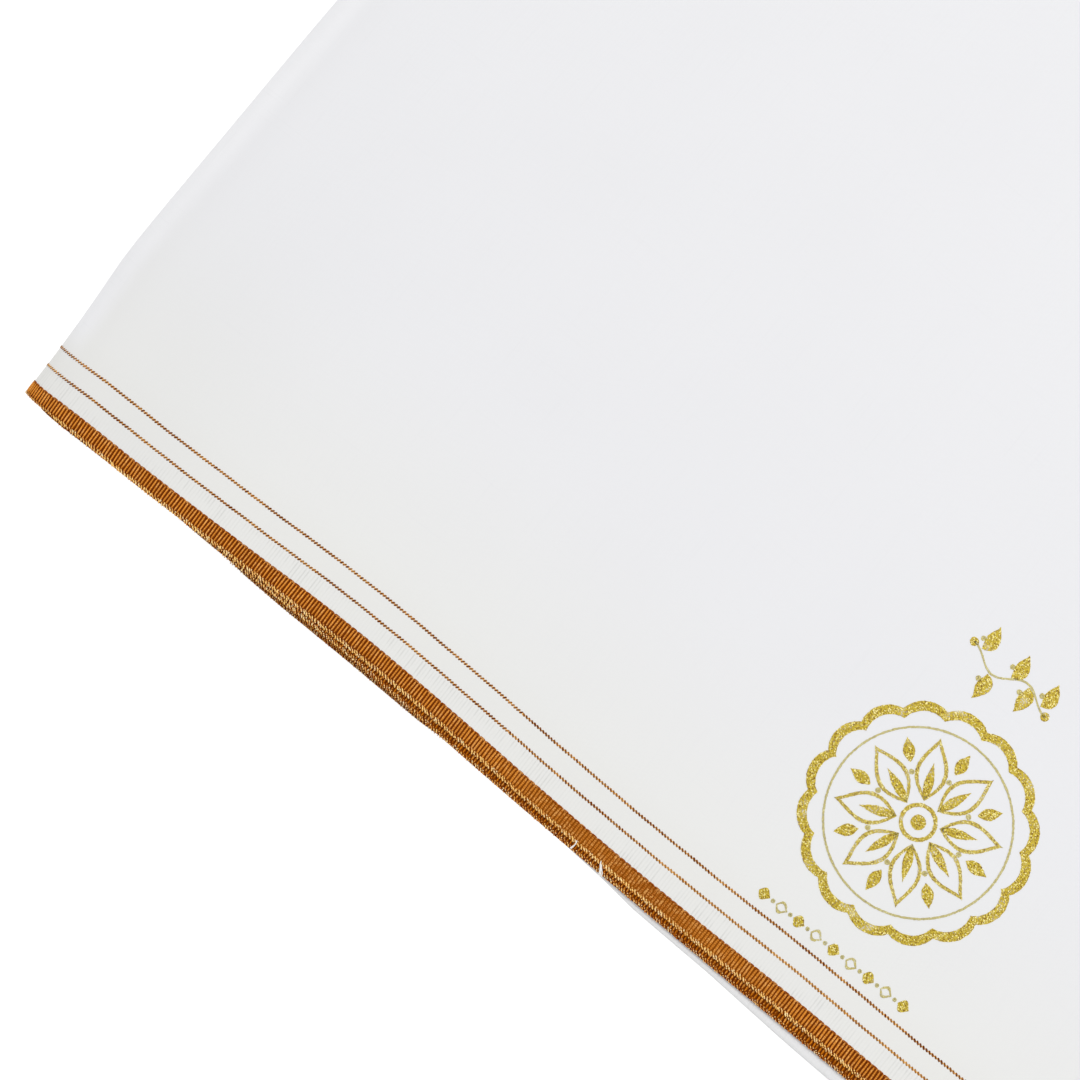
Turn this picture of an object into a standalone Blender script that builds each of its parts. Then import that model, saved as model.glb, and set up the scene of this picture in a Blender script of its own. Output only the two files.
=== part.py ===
"""White lungi with a brown woven border, folded for the shelf into a flat pack of 32 layers.

The cloth is folded twice across its width and three times along its length. Its border runs along the
front edge (-Y), its fold lies at the left (-X), its cut ends at the right (+X), and it rests at z = 0.
"""

from math import cos, pi, radians, sin, sqrt
from typing import NamedTuple

import bmesh
import bpy
from mathutils import Vector

MM = 0.001

# Whole cloth and its folding
CLOTH_LENGTH = 2000.0 * MM
CLOTH_WIDTH = 1270.0 * MM
STRETCHES = 8
LAYERS_PER_STRETCH = 4
LAYER_PITCH = 0.41 * MM

PACK_LENGTH = CLOTH_LENGTH / STRETCHES
PACK_DEPTH = CLOTH_WIDTH / LAYERS_PER_STRETCH
PACK_HEIGHT = STRETCHES * LAYERS_PER_STRETCH * LAYER_PITCH
MID_HEIGHT = PACK_HEIGHT / 2.0

# Walls and the gaps between pieces
WALL = 1.0 * MM
GAP = 0.3 * MM

# Left fold: a soft bullnose, longer than it is high
NOSE_LENGTH = 14.0 * MM
CORE_NOSE_LENGTH = NOSE_LENGTH - WALL - 2.0 * GAP
NOSE_STEPS = 9
CORNER_LENGTH = 7.0 * MM
CORNER_PULL = 1.5 * MM

# Woven border: a ribbed band and a thinner stitched selvedge outside it
SELVEDGE_WIDTH = 0.7 * MM
SELVEDGE_DROP = 0.2 * MM
BORDER_WIDTH = 3.8 * MM
FRONT_FOLD_WIDTH = 6.0 * MM

# Back folds: each group of four layers turns round as one soft nose
LIP_RADIUS = 1.4 * MM
LIP_STEPS = 4
NOSE_DIP = 1.0 * MM
CREST_LOW = 0.3
CREST_HIGH = 0.72

# Ends at the right: a tall nested fold below, a lower fold on it, then two cut ends
TALL_FOLD_GROUPS = 4
LOW_FOLD_GROUPS = 2
TALL_FOLD_NOSE = 5.0 * MM
LOW_FOLD_NOSE = 2.4 * MM
END_DIP = 0.6 * MM
UNDER_END_SETBACK = 4.0 * MM

# How finely the sheets are divided
ALONG_STEPS = 18
DEEP_STEPS = 16
CORE_ALONG_STEPS = 18
CORE_DEEP_STEPS = 12
CORNER_ROUNDING = 1.6 * MM
CORNER_SHARPNESS = 24
CORE_CROWDING = 0.12


class EdgeRow(NamedTuple):
    """One place on an edge of the pack, and how far the edge lies from its straight line there."""

    place: float
    shift: float


class Swell(NamedTuple):
    """A soft rise or dip of the top: its middle, its reach each way and its height."""

    along: float
    deep: float
    reach_along: float
    reach_deep: float
    height: float


class Group(NamedTuple):
    """One group of four layers, from the bottom up: how far its nose stands out at each edge."""

    front: float
    back: float


# All rows in millimetres. Edge places run from the left fold, or from the front edge.
TOP_FRONT_EDGE = (
    EdgeRow(0, -1.0), EdgeRow(30, -0.7), EdgeRow(55, 0.05), EdgeRow(75, 0.85), EdgeRow(90, 1.0),
    EdgeRow(110, 0.55), EdgeRow(130, -0.15), EdgeRow(150, -0.6), EdgeRow(170, -0.7),
    EdgeRow(190, -0.5), EdgeRow(215, -0.8), EdgeRow(250, -0.9),
)
SECOND_FRONT_EDGE = (
    EdgeRow(0, -0.6), EdgeRow(20, -0.7), EdgeRow(40, -0.2), EdgeRow(55, -0.8), EdgeRow(70, -1.1),
    EdgeRow(95, -1.2), EdgeRow(120, -1.55), EdgeRow(150, -2.1), EdgeRow(180, -2.6),
    EdgeRow(215, -2.75), EdgeRow(250, -2.9),
)
FOLD_FRONT_EDGE = (
    EdgeRow(0, 0.5), EdgeRow(50, 0.0), EdgeRow(100, -1.0), EdgeRow(140, -1.9), EdgeRow(155, -2.9),
    EdgeRow(180, -3.6), EdgeRow(200, -4.3), EdgeRow(215, -4.5), EdgeRow(250, -4.9),
)
BACK_EDGE = (
    EdgeRow(0, 0.3), EdgeRow(60, 0.8), EdgeRow(120, 0.2), EdgeRow(180, -0.6), EdgeRow(250, 0.1),
)
LEFT_EDGE = (
    EdgeRow(0, 3.8), EdgeRow(8, 3.4), EdgeRow(16, 2.75), EdgeRow(24, 1.95), EdgeRow(32, 1.0),
    EdgeRow(40, 0.6), EdgeRow(60, 0.2), EdgeRow(100, -0.45), EdgeRow(170, -0.6), EdgeRow(240, -0.3),
    EdgeRow(317, 0.5),
)
RIGHT_EDGE = (
    EdgeRow(0, -1.2), EdgeRow(100, 0.2), EdgeRow(220, 0.7), EdgeRow(317, -0.5),
)
SWELLS = (
    Swell(60, 120, 60, 90, 0.35),
    Swell(190, 215, 70, 60, 0.30),
    Swell(24, 170, 16, 110, 0.35),
    Swell(120, 304, 110, 16, 0.30),
    Swell(125, 8, 90, 14, -0.25),
    Swell(215, 90, 40, 50, -0.20),
)
GROUPS = (
    Group(0.4, 0.2), Group(0.0, 0.9), Group(0.7, -0.3), Group(0.2, 0.5),
    Group(0.9, 0.1), Group(0.3, 0.8), Group(0.0, -0.2), Group(0.0, -1.3),
)
CORE_FRONT_SETBACK = 2.2 * MM
UNDER_FRONT_SETBACK = 2.4 * MM
UNDER_FRONT_BLEND = 30.0 * MM

# Finish of each piece: base colour, roughness, metallic
WHITE_COTTON = ((0.86, 0.86, 0.87), 0.85, 0.0)
INNER_COTTON = ((0.80, 0.80, 0.80), 0.88, 0.0)
BROWN_BORDER = ((0.37, 0.13, 0.012), 0.62, 0.0)


def edge_shift(rows: tuple[EdgeRow, ...], place: float) -> float:
    """Read a smooth edge through its rows.

    Args:
        rows: the edge's rows in millimetres, in order of place.
        place: where on the edge, in metres.

    Returns:
        The edge's shift there, in metres.
    """
    at = min(max(place / MM, rows[0].place), rows[-1].place)
    last = len(rows) - 2
    index = max(i for i in range(last + 1) if rows[i].place <= at)
    low, high = rows[index], rows[index + 1]
    before = rows[max(index - 1, 0)]
    after = rows[min(index + 2, last + 1)]
    span = high.place - low.place
    slope_low = (high.shift - before.shift) / (high.place - before.place)
    slope_high = (after.shift - low.shift) / (after.place - low.place)
    t = (at - low.place) / span
    value = (
        (2 * t**3 - 3 * t**2 + 1) * low.shift
        + (t**3 - 2 * t**2 + t) * span * slope_low
        + (3 * t**2 - 2 * t**3) * high.shift
        + (t**3 - t**2) * span * slope_high
    )
    return value * MM


def swell_height(along: float, deep: float) -> float:
    """Add up the soft rises and dips of the top at one place."""
    total = 0.0
    for swell in SWELLS:
        across = (along / MM - swell.along) / swell.reach_along
        down = (deep / MM - swell.deep) / swell.reach_deep
        total += swell.height * 2.718 ** (-(across**2) - down**2)
    return total * MM


def corner_pull(along: float) -> float:
    """How far the border draws back where it comes to the left fold's corner."""
    if along >= CORNER_LENGTH:
        return 0.0
    share = (CORNER_LENGTH - max(along, 0.0)) / CORNER_LENGTH
    return CORNER_PULL * (1.0 - sqrt(1.0 - share * share))


class Station(NamedTuple):
    """A place along the outer skin: how far along the flat, and how far round the left fold."""

    flat: float
    turn: float


def skin_stations() -> list[Station]:
    """Stations from the right end over the flat and half-way round the left fold."""
    flat = [Station(1.0 - i / ALONG_STEPS, 0.0) for i in range(ALONG_STEPS + 1)]
    round_fold = [Station(0.0, 0.5 * pi * i / NOSE_STEPS) for i in range(1, NOSE_STEPS + 1)]
    return flat + round_fold


def skin_point(station: Station, deep: float, depth: float, side: int, end_setback: float = 0.0) -> Vector:
    """A point of the pack on or under its outer skin.

    Args:
        station: where along the skin.
        deep: distance from the pack's front line.
        depth: how far under the skin.
        side: 1 for the upper half of the pack, -1 for its flat under half.
        end_setback: how much shorter than the pack the stretch is at its right end.

    Returns:
        The point in the pack's own frame, x from the left fold and y from the front line.
    """
    nose_x = edge_shift(LEFT_EDGE, deep)
    tangent_x = nose_x + NOSE_LENGTH
    end_x = PACK_LENGTH + edge_shift(RIGHT_EDGE, deep) - end_setback
    if station.turn == 0.0:
        along = tangent_x + (end_x - tangent_x) * station.flat
        half = MID_HEIGHT + (swell_height(along, deep) if side > 0 else 0.0)
        return Vector((along, deep, MID_HEIGHT + side * (half - depth)))
    along = tangent_x - NOSE_LENGTH * sin(station.turn)
    half = MID_HEIGHT + (swell_height(along, deep) if side > 0 else 0.0)
    normal = Vector((-sin(station.turn) / NOSE_LENGTH, 0.0, cos(station.turn) / half)).normalized()
    along -= normal.x * depth
    rise = half * cos(station.turn) - normal.z * depth
    lowest = 0.5 * GAP
    return Vector((along, deep, MID_HEIGHT + side * max(rise, lowest)))


def station_along(station: Station) -> float:
    """Distance of a station from the left fold, for reading the edges."""
    if station.turn == 0.0:
        return NOSE_LENGTH + (PACK_LENGTH - NOSE_LENGTH) * station.flat
    return NOSE_LENGTH * (1.0 - sin(station.turn))


def add_object(name: str, mesh: bmesh.types.BMesh, finish: tuple, pack: bpy.types.Object) -> bpy.types.Object:
    """Turn a bmesh into a named object with its own material, parented to the pack."""
    bmesh.ops.recalc_face_normals(mesh, faces=mesh.faces)
    data = bpy.data.meshes.new(name)
    mesh.to_mesh(data)
    mesh.free()
    colour, roughness, metallic = finish
    material = bpy.data.materials.new(name)
    material.use_nodes = True
    shader = material.node_tree.nodes["Principled BSDF"]
    shader.inputs["Base Color"].default_value = (*colour, 1.0)
    shader.inputs["Roughness"].default_value = roughness
    shader.inputs["Metallic"].default_value = metallic
    data.materials.append(material)
    data.shade_smooth()
    data.set_sharp_from_angle(angle=radians(40.0))
    obj = bpy.data.objects.new(name, data)
    bpy.context.collection.objects.link(obj)
    obj.parent = pack
    return obj


def closed_loft(loops: list[list[Vector]]) -> bmesh.types.BMesh:
    """Skin a row of closed loops and cap both ends."""
    mesh = bmesh.new()
    rings = [[mesh.verts.new(point) for point in loop] for loop in loops]
    count = len(rings[0])
    for ring, following in zip(rings, rings[1:]):
        for i in range(count):
            j = (i + 1) % count
            mesh.faces.new((ring[i], ring[j], following[j], following[i]))
    mesh.faces.new(rings[0])
    mesh.faces.new(list(reversed(rings[-1])))
    return mesh


class SectionPoint(NamedTuple):
    """A point of a stretch's section: its distance from the front line and its depth under the skin."""

    deep: float
    depth: float


def border_section(front: float) -> list[SectionPoint]:
    """Section of the woven border: the thin selvedge first, then the thicker ribbed band."""
    inner = front + BORDER_WIDTH
    step = front + SELVEDGE_WIDTH
    return [
        SectionPoint(front, WALL - SELVEDGE_DROP),
        SectionPoint(front, 1.6 * SELVEDGE_DROP),
        SectionPoint(front + 0.25 * SELVEDGE_WIDTH, SELVEDGE_DROP),
        SectionPoint(step, SELVEDGE_DROP),
        SectionPoint(step + 0.3 * SELVEDGE_DROP, 0.0),
        SectionPoint(inner, 0.0),
        SectionPoint(inner, WALL),
        SectionPoint(front + 0.25 * SELVEDGE_WIDTH, WALL),
    ]


def under_border_section(front: float) -> list[SectionPoint]:
    """Section of the border on the underside, flat where it rests."""
    inner = front + BORDER_WIDTH
    return [
        SectionPoint(front, WALL - SELVEDGE_DROP),
        SectionPoint(front, SELVEDGE_DROP),
        SectionPoint(front + SELVEDGE_DROP, 0.0),
        SectionPoint(inner, 0.0),
        SectionPoint(inner, WALL),
        SectionPoint(front + SELVEDGE_DROP, WALL),
    ]


def panel_section(start: float, end: float, lip: bool) -> list[SectionPoint]:
    """Section of a body stretch from its border to the back, where it turns round its lip."""
    flat_end = end - LIP_RADIUS
    step = (flat_end - start) / DEEP_STEPS
    outer = [SectionPoint(start + i * step, 0.0) for i in range(DEEP_STEPS + 1)]
    inner = [SectionPoint(start + i * step, WALL) for i in range(DEEP_STEPS + 1)]
    if lip:
        for i in range(1, LIP_STEPS + 1):
            angle = 0.5 * pi * i / LIP_STEPS
            outer.append(SectionPoint(flat_end + LIP_RADIUS * sin(angle), LIP_RADIUS * (1.0 - cos(angle))))
            small = LIP_RADIUS - WALL
            inner.append(SectionPoint(flat_end + small * sin(angle), LIP_RADIUS - small * cos(angle)))
    return outer + list(reversed(inner))


def fold_section(front: float) -> list[SectionPoint]:
    """Section of the white folded edge: a round nose under the second border."""
    top = 2.0 * (WALL + GAP)
    half = 0.5 * WALL
    nose = [
        SectionPoint(front + half * (1.0 - sin(angle)), top + half * (1.0 - cos(angle)))
        for angle in (pi * i / 6.0 for i in range(7))
    ]
    return nose + [
        SectionPoint(front + FRONT_FOLD_WIDTH, top + WALL),
        SectionPoint(front + FRONT_FOLD_WIDTH, top),
    ]


def build_top_cloth(pack: bpy.types.Object) -> None:
    """The uppermost stretch, from its cut end to half-way round the left fold."""
    loops = []
    for station in skin_stations():
        along = station_along(station)
        start = edge_shift(TOP_FRONT_EDGE, along) + corner_pull(along) + BORDER_WIDTH + GAP
        end = PACK_DEPTH + edge_shift(BACK_EDGE, along)
        loops.append([skin_point(station, p.deep, p.depth, 1) for p in panel_section(start, end, True)])
    add_object("top_cloth", closed_loft(loops), WHITE_COTTON, pack)


def build_top_border(pack: bpy.types.Object) -> None:
    """The woven border of the uppermost stretch, round the same fold."""
    loops = []
    for station in skin_stations():
        along = station_along(station)
        front = edge_shift(TOP_FRONT_EDGE, along) + corner_pull(along)
        loops.append([skin_point(station, p.deep, p.depth, 1) for p in border_section(front)])
    add_object("top_border", closed_loft(loops), BROWN_BORDER, pack)


def build_second_border(pack: bpy.types.Object) -> None:
    """The woven border of the layer under the uppermost, standing out past it."""
    under = WALL + GAP
    loops = []
    for station in skin_stations()[:-3]:
        along = station_along(station)
        front = edge_shift(SECOND_FRONT_EDGE, along) + corner_pull(along)
        section = border_section(front)
        loops.append([skin_point(station, p.deep, p.depth + under, 1, GAP) for p in section])
    add_object("second_border", closed_loft(loops), BROWN_BORDER, pack)


def build_front_fold(pack: bpy.types.Object) -> None:
    """The white folded edge under the second border, which shows at the right."""
    loops = []
    for station in skin_stations()[: ALONG_STEPS + 1]:
        front = edge_shift(FOLD_FRONT_EDGE, station_along(station))
        loops.append([skin_point(station, p.deep, p.depth, 1, 2.0 * GAP) for p in fold_section(front)])
    add_object("front_fold", closed_loft(loops), WHITE_COTTON, pack)


def under_front(along: float) -> float:
    """Front line of the stretch that the pack rests on, which meets the top's at the left fold."""
    share = min(along / UNDER_FRONT_BLEND, 1.0)
    ease = share * share * (3.0 - 2.0 * share)
    top = edge_shift(TOP_FRONT_EDGE, along)
    under = edge_shift(FOLD_FRONT_EDGE, along) + UNDER_FRONT_SETBACK
    return top * (1.0 - ease) + under * ease


def build_under_cloth(pack: bpy.types.Object) -> None:
    """The same cloth from half-way round the left fold over the flat underside."""
    loops = []
    for station in skin_stations():
        along = station_along(station)
        start = under_front(along) + corner_pull(along) + BORDER_WIDTH + GAP
        end = PACK_DEPTH + edge_shift(BACK_EDGE, along) - GAP
        section = panel_section(start, end, True)
        loops.append([skin_point(station, p.deep, p.depth, -1, UNDER_END_SETBACK) for p in section])
    add_object("under_cloth", closed_loft(loops), WHITE_COTTON, pack)


def build_under_border(pack: bpy.types.Object) -> None:
    """The woven border of the stretch that the pack rests on."""
    loops = []
    for station in skin_stations():
        along = station_along(station)
        section = under_border_section(under_front(along) + corner_pull(along))
        loops.append([skin_point(station, p.deep, p.depth, -1, UNDER_END_SETBACK) for p in section])
    add_object("under_border", closed_loft(loops), BROWN_BORDER, pack)


class Level(NamedTuple):
    """One height of the hidden layers: its group, and 0 in a valley or 1 on a nose."""

    height: float
    group: int
    crest: float


CORE_LOW = WALL + GAP
CORE_HIGH = PACK_HEIGHT - WALL - GAP
GROUP_HEIGHT = (CORE_HIGH - CORE_LOW) / STRETCHES
NOTCH_GROUP = STRETCHES - 2
TOP_GROUP_FLOOR = CORE_HIGH - GROUP_HEIGHT + 0.1 * GAP


def core_levels() -> list[Level]:
    """Heights from the bottom up: a valley under each group, then the two sides of its nose."""
    levels = []
    for group in range(STRETCHES):
        floor = CORE_LOW + group * GROUP_HEIGHT
        levels.append(Level(floor, group, 0.0))
        levels.append(Level(floor + CREST_LOW * GROUP_HEIGHT, group, 1.0))
        levels.append(Level(floor + CREST_HIGH * GROUP_HEIGHT, group, 1.0))
    levels.append(Level(CORE_HIGH, STRETCHES - 1, 0.0))
    return levels


def core_left(level: Level, deep: float) -> float:
    """Left side of the hidden layers: the inside of the bullnose."""
    rise = (level.height - MID_HEIGHT) / (MID_HEIGHT - CORE_LOW)
    reach = CORE_NOSE_LENGTH * sqrt(max(0.0, 1.0 - rise * rise))
    return edge_shift(LEFT_EDGE, deep) + NOSE_LENGTH - reach


def core_front(level: Level, along: float) -> float:
    """Front side: ridges of layers, set back behind the front fold and the second border above them."""
    if level.group == STRETCHES - 1 and level.height > TOP_GROUP_FLOOR:
        return edge_shift(SECOND_FRONT_EDGE, along) + corner_pull(along) + BORDER_WIDTH + GAP
    if level.group >= NOTCH_GROUP:
        return edge_shift(FOLD_FRONT_EDGE, along) + FRONT_FOLD_WIDTH + 3.0 * GAP
    nose = NOSE_DIP * (1.0 - level.crest) - GROUPS[level.group].front * MM * level.crest
    return edge_shift(FOLD_FRONT_EDGE, along) + CORE_FRONT_SETBACK + nose


def core_back(level: Level, along: float) -> float:
    """Back side: one soft nose for each group."""
    nose = GROUPS[level.group].back * MM * level.crest - NOSE_DIP * (1.0 - level.crest)
    ends = level.height in (CORE_LOW, CORE_HIGH)
    return PACK_DEPTH + edge_shift(BACK_EDGE, along) - GAP + nose - (LIP_RADIUS if ends else 0.0)


def core_right(level: Level, deep: float) -> float:
    """Right side: the tall nested fold, the lower fold on it, and the two cut ends."""
    end = PACK_LENGTH + edge_shift(RIGHT_EDGE, deep) - GAP
    tall_top = CORE_LOW + TALL_FOLD_GROUPS * GROUP_HEIGHT
    low_top = tall_top + LOW_FOLD_GROUPS * GROUP_HEIGHT
    if level.height < tall_top:
        rise = (level.height - CORE_LOW) / (tall_top - CORE_LOW) * 2.0 - 1.0
        return end - TALL_FOLD_NOSE * (1.0 - sqrt(max(0.0, 1.0 - rise * rise)))
    if level.height < low_top:
        rise = (level.height - tall_top) / (low_top - tall_top) * 2.0 - 1.0
        return end - LOW_FOLD_NOSE * (1.0 - sqrt(max(0.0, 1.0 - rise * rise)))
    return end - END_DIP * (1.0 - level.crest)


def core_point(level: Level, u: float, v: float, top: bool = False) -> Vector:
    """A point of the hidden layers: u runs from left to right and v from front to back."""
    along = PACK_LENGTH * u
    deep = PACK_DEPTH * v
    x = core_left(level, deep) * (1.0 - u) + core_right(level, deep) * u
    y = core_front(level, along) * (1.0 - v) + core_back(level, along) * v
    corner = (abs(2.0 * u - 1.0) * abs(2.0 * v - 1.0)) ** CORNER_SHARPNESS
    x += CORNER_ROUNDING * corner * (1.0 if u < 0.5 else -1.0)
    y += CORNER_ROUNDING * corner * (1.0 if v < 0.5 else -1.0)
    return Vector((x, y, level.height + (swell_height(x, y) if top else 0.0)))


def crowded_shares(steps: int) -> list[float]:
    """Shares from 0 to 1 that lie closer together near both ends."""
    angles = [pi * (CORE_CROWDING + (1.0 - 2.0 * CORE_CROWDING) * i / steps) for i in range(steps + 1)]
    first, last = cos(angles[0]), cos(angles[-1])
    return [(first - cos(angle)) / (first - last) for angle in angles]


def build_hidden_layers(pack: bpy.types.Object) -> None:
    """The stretches between top and underside, as one rounded solid layered at its edges."""
    levels = core_levels()
    us = crowded_shares(CORE_ALONG_STEPS)
    vs = crowded_shares(CORE_DEEP_STEPS)
    last_u, last_v = CORE_ALONG_STEPS, CORE_DEEP_STEPS
    rim = [(i, 0) for i in range(last_u)] + [(last_u, j) for j in range(last_v)]
    rim += [(i, last_v) for i in range(last_u, 0, -1)] + [(0, j) for j in range(last_v, 0, -1)]

    mesh = bmesh.new()
    floor = {}
    roof = {}
    for i, u in enumerate(us):
        for j, v in enumerate(vs):
            floor[i, j] = mesh.verts.new(core_point(levels[0], u, v))
            roof[i, j] = mesh.verts.new(core_point(levels[-1], u, v, True))
    for i in range(last_u):
        for j in range(last_v):
            mesh.faces.new((floor[i, j], floor[i, j + 1], floor[i + 1, j + 1], floor[i + 1, j]))
            mesh.faces.new((roof[i, j], roof[i + 1, j], roof[i + 1, j + 1], roof[i, j + 1]))
    rings = [[floor[spot] for spot in rim]]
    for level in levels[1:-1]:
        rings.append([mesh.verts.new(core_point(level, us[i], vs[j])) for i, j in rim])
    rings.append([roof[spot] for spot in rim])
    count = len(rim)
    for ring, above in zip(rings, rings[1:]):
        for i in range(count):
            j = (i + 1) % count
            mesh.faces.new((ring[i], ring[j], above[j], above[i]))
    add_object("hidden_layers", mesh, INNER_COTTON, pack)


def centre_pack(pack: bpy.types.Object) -> None:
    """Put the origin under the middle of the pack's box."""
    points = [v.co for obj in pack.children for v in obj.data.vertices]
    low_x, high_x = min(p.x for p in points), max(p.x for p in points)
    low_y, high_y = min(p.y for p in points), max(p.y for p in points)
    pack.location = (-0.5 * (low_x + high_x), -0.5 * (low_y + high_y), 0.0)


def main() -> None:
    """Clear the scene and build the folded pack."""
    for obj in list(bpy.data.objects):
        bpy.data.objects.remove(obj, do_unlink=True)
    pack = bpy.data.objects.new("pack", None)
    bpy.context.collection.objects.link(pack)
    build_top_cloth(pack)
    build_top_border(pack)
    build_second_border(pack)
    build_front_fold(pack)
    build_under_cloth(pack)
    build_under_border(pack)
    build_hidden_layers(pack)
    centre_pack(pack)
    bpy.context.view_layer.update()


main()
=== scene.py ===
"""Looks of a folded white lungi with a brown woven border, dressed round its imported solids.

The cloth is laid out here as it is really folded: one spiral of eight stretches, each of four layers, so
every edge of the pack shows the folds, selvedges and cut ends that belong there.
"""

import logging
from bisect import bisect_left
from cmath import rect
from dataclasses import dataclass, field
from enum import Enum
from math import cos, exp, floor, hypot, pi, radians, sin, sqrt, tau
from typing import Callable, Iterable, NamedTuple, Sequence, Union

import bpy
import numpy as np
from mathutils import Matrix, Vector


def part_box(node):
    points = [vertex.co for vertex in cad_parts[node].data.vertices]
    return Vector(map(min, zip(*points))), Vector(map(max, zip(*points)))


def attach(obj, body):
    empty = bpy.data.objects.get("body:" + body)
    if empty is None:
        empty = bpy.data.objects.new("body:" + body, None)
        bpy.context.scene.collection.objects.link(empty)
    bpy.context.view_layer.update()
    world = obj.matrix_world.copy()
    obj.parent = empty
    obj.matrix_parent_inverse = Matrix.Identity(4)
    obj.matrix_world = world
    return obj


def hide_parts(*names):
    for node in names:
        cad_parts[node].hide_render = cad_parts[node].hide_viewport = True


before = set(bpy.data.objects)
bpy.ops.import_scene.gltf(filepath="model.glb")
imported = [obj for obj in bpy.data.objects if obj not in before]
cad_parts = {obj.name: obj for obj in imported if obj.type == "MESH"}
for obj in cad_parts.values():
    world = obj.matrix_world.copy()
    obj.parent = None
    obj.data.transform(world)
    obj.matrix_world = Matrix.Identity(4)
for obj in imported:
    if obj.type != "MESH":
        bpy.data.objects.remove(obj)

LOG = logging.getLogger("lungi")
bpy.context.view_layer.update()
MM = 0.001

Object = bpy.types.Object
Material = bpy.types.Material
Colour = tuple[float, float, float]
Reach = tuple[float, float]
Number = Union[float, "Sock"]
Values = Union[dict, None]


class Edge:
    """A smooth edge of the pack, through places along it and its shifts from a straight line, in mm."""

    def __init__(self, *rows: tuple[float, float]) -> None:
        """Keep the places, in order, and their shifts."""
        self.places, self.shifts = zip(*rows)

    def at(self, place: float) -> float:
        """Read the edge.

        Args:
            place: where on the edge, in metres.

        Returns:
            The edge's shift there, in metres.
        """
        places, shifts = self.places, self.shifts
        at = min(max(place / MM, places[0]), places[-1])
        low = max(i for i in range(len(places) - 1) if places[i] <= at)
        before, high, after = max(low - 1, 0), low + 1, min(low + 2, len(places) - 1)
        span = places[high] - places[low]
        slope_low = (shifts[high] - shifts[before]) / (places[high] - places[before])
        slope_high = (shifts[after] - shifts[low]) / (places[after] - places[low])
        t = (at - places[low]) / span
        value = (
            (2 * t**3 - 3 * t**2 + 1) * shifts[low]
            + (t**3 - 2 * t**2 + t) * span * slope_low
            + (3 * t**2 - 2 * t**3) * shifts[high]
            + (t**3 - t**2) * span * slope_high
        )
        return value * MM


class Swell(NamedTuple):
    """A soft rise or dip of the top, in mm: its middle, its reach each way and its height."""

    along: float
    deep: float
    reach_along: float
    reach_deep: float
    height: float

    def at(self, along: float, deep: float) -> float:
        """Its height at a place, all in mm."""
        rise = bell(along, self.along, self.reach_along) * bell(deep, self.deep, self.reach_deep)
        return self.height * rise


class StretchRow(NamedTuple):
    """How one stretch lies against the others, in mm: its front lines, back fold and right end."""

    first_selvedge: float
    second_selvedge: float
    front_fold: float
    back_fold: float
    right_end: float


class Lane(Enum):
    """Layers of a stretch, by their distance from its middle in pitches of the layers."""

    FIRST = 1.5
    SECOND = 0.5
    FOURTH = -1.5


TOP_FRONT_EDGE = Edge(
    (0, -0.75), (12, -0.75), (30, -0.7), (55, 0.05), (75, 0.85), (90, 1.0), (110, 0.55), (130, -0.15),
    (150, -0.6), (170, -0.7), (190, -0.5), (215, -0.8), (250, -0.9),
)
SECOND_FRONT_EDGE = Edge(
    (0, 0.3), (4.5, 0.2), (7, -0.95), (18, -0.90), (40, -0.40), (50, -0.55), (60, -0.40), (72, -0.25),
    (86, -0.28), (100, -0.68), (110, -1.05), (120, -1.38), (132, -1.68), (150, -1.96), (180, -2.3),
    (215, -2.45), (250, -2.6),
)
NEXT_FRONT_EDGE = Edge(
    (0, 2.9), (34, 2.5), (44, 1.1), (52, -0.45), (60, -0.90), (70, -1.10), (85, -1.08), (95, -1.2),
    (105, -1.28), (112, -0.95), (124, 0.4), (140, 0.8), (155, 0.0), (180, -0.9), (215, -2.0), (250, -2.5),
)
FOLD_FRONT_EDGE = Edge(
    (0, 0.5), (50, 0.6), (70, 0.4), (85, 0.3), (100, -0.2), (120, -0.9), (140, -1.5), (150, -2.0),
    (156, -2.65), (165, -2.95), (180, -3.2), (190, -3.75), (200, -4.1), (215, -4.4), (250, -4.9),
)
BACK_EDGE = Edge((0, 0.3), (60, 0.8), (120, 0.2), (180, -0.6), (250, 0.1))
LEFT_EDGE = Edge(
    (0, 3.8), (8, 3.4), (16, 2.75), (24, 1.95), (32, 1.0), (40, 0.6), (60, 0.2), (100, -0.45), (170, -0.6),
    (240, -0.3), (317, 0.5),
)
RIGHT_EDGE = Edge((0, -1.2), (100, 0.2), (220, 0.7), (317, -0.5))
SWELLS = (
    Swell(60, 120, 60, 90, 0.35),
    Swell(190, 215, 70, 60, 0.30),
    Swell(24, 170, 16, 110, 0.35),
    Swell(120, 304, 110, 16, 0.30),
    Swell(125, 8, 90, 14, -0.25),
    Swell(215, 90, 40, 50, -0.20),
)
STRETCH_ROWS = {
    1: StretchRow(0.0, 0.0, 0.0, 0.2, 0.0),
    2: StretchRow(0.9, 0.3, 0.0, -0.3, -1.4),
    3: StretchRow(0.2, 0.8, 0.5, 0.7, -2.2),
    4: StretchRow(0.7, 0.1, 1.1, 0.0, -2.2),
    5: StretchRow(0.0, 0.6, 0.3, 0.4, -4.4),
    6: StretchRow(0.9, 0.4, 0.0, -0.5, -4.4),
    7: StretchRow(0.3, 0.9, 0.7, 0.5, -4.4),
    8: StretchRow(0.2, 0.6, 1.0, -0.1, -4.4),
}
FOLD_ORDER = (1, 8, 5, 4, 3, 6, 7, 2)
RIB_PITCH = 0.70 * MM
RUBBED_RUN = (93.0 * MM, 36.0 * MM)
WHITE_PITCHES = (0.35 * MM, 0.31 * MM)
THREAD_RELIEF = 0.03 * MM
RIGHT_PAIRS = {3: 4, 4: 3, 5: 8, 8: 5, 6: 7, 7: 6}
OUTER_RUNS = 2
NEXT_STRETCH = 3
STRETCHES = len(FOLD_ORDER)
LAYERS_PER_STRETCH = 4
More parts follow.
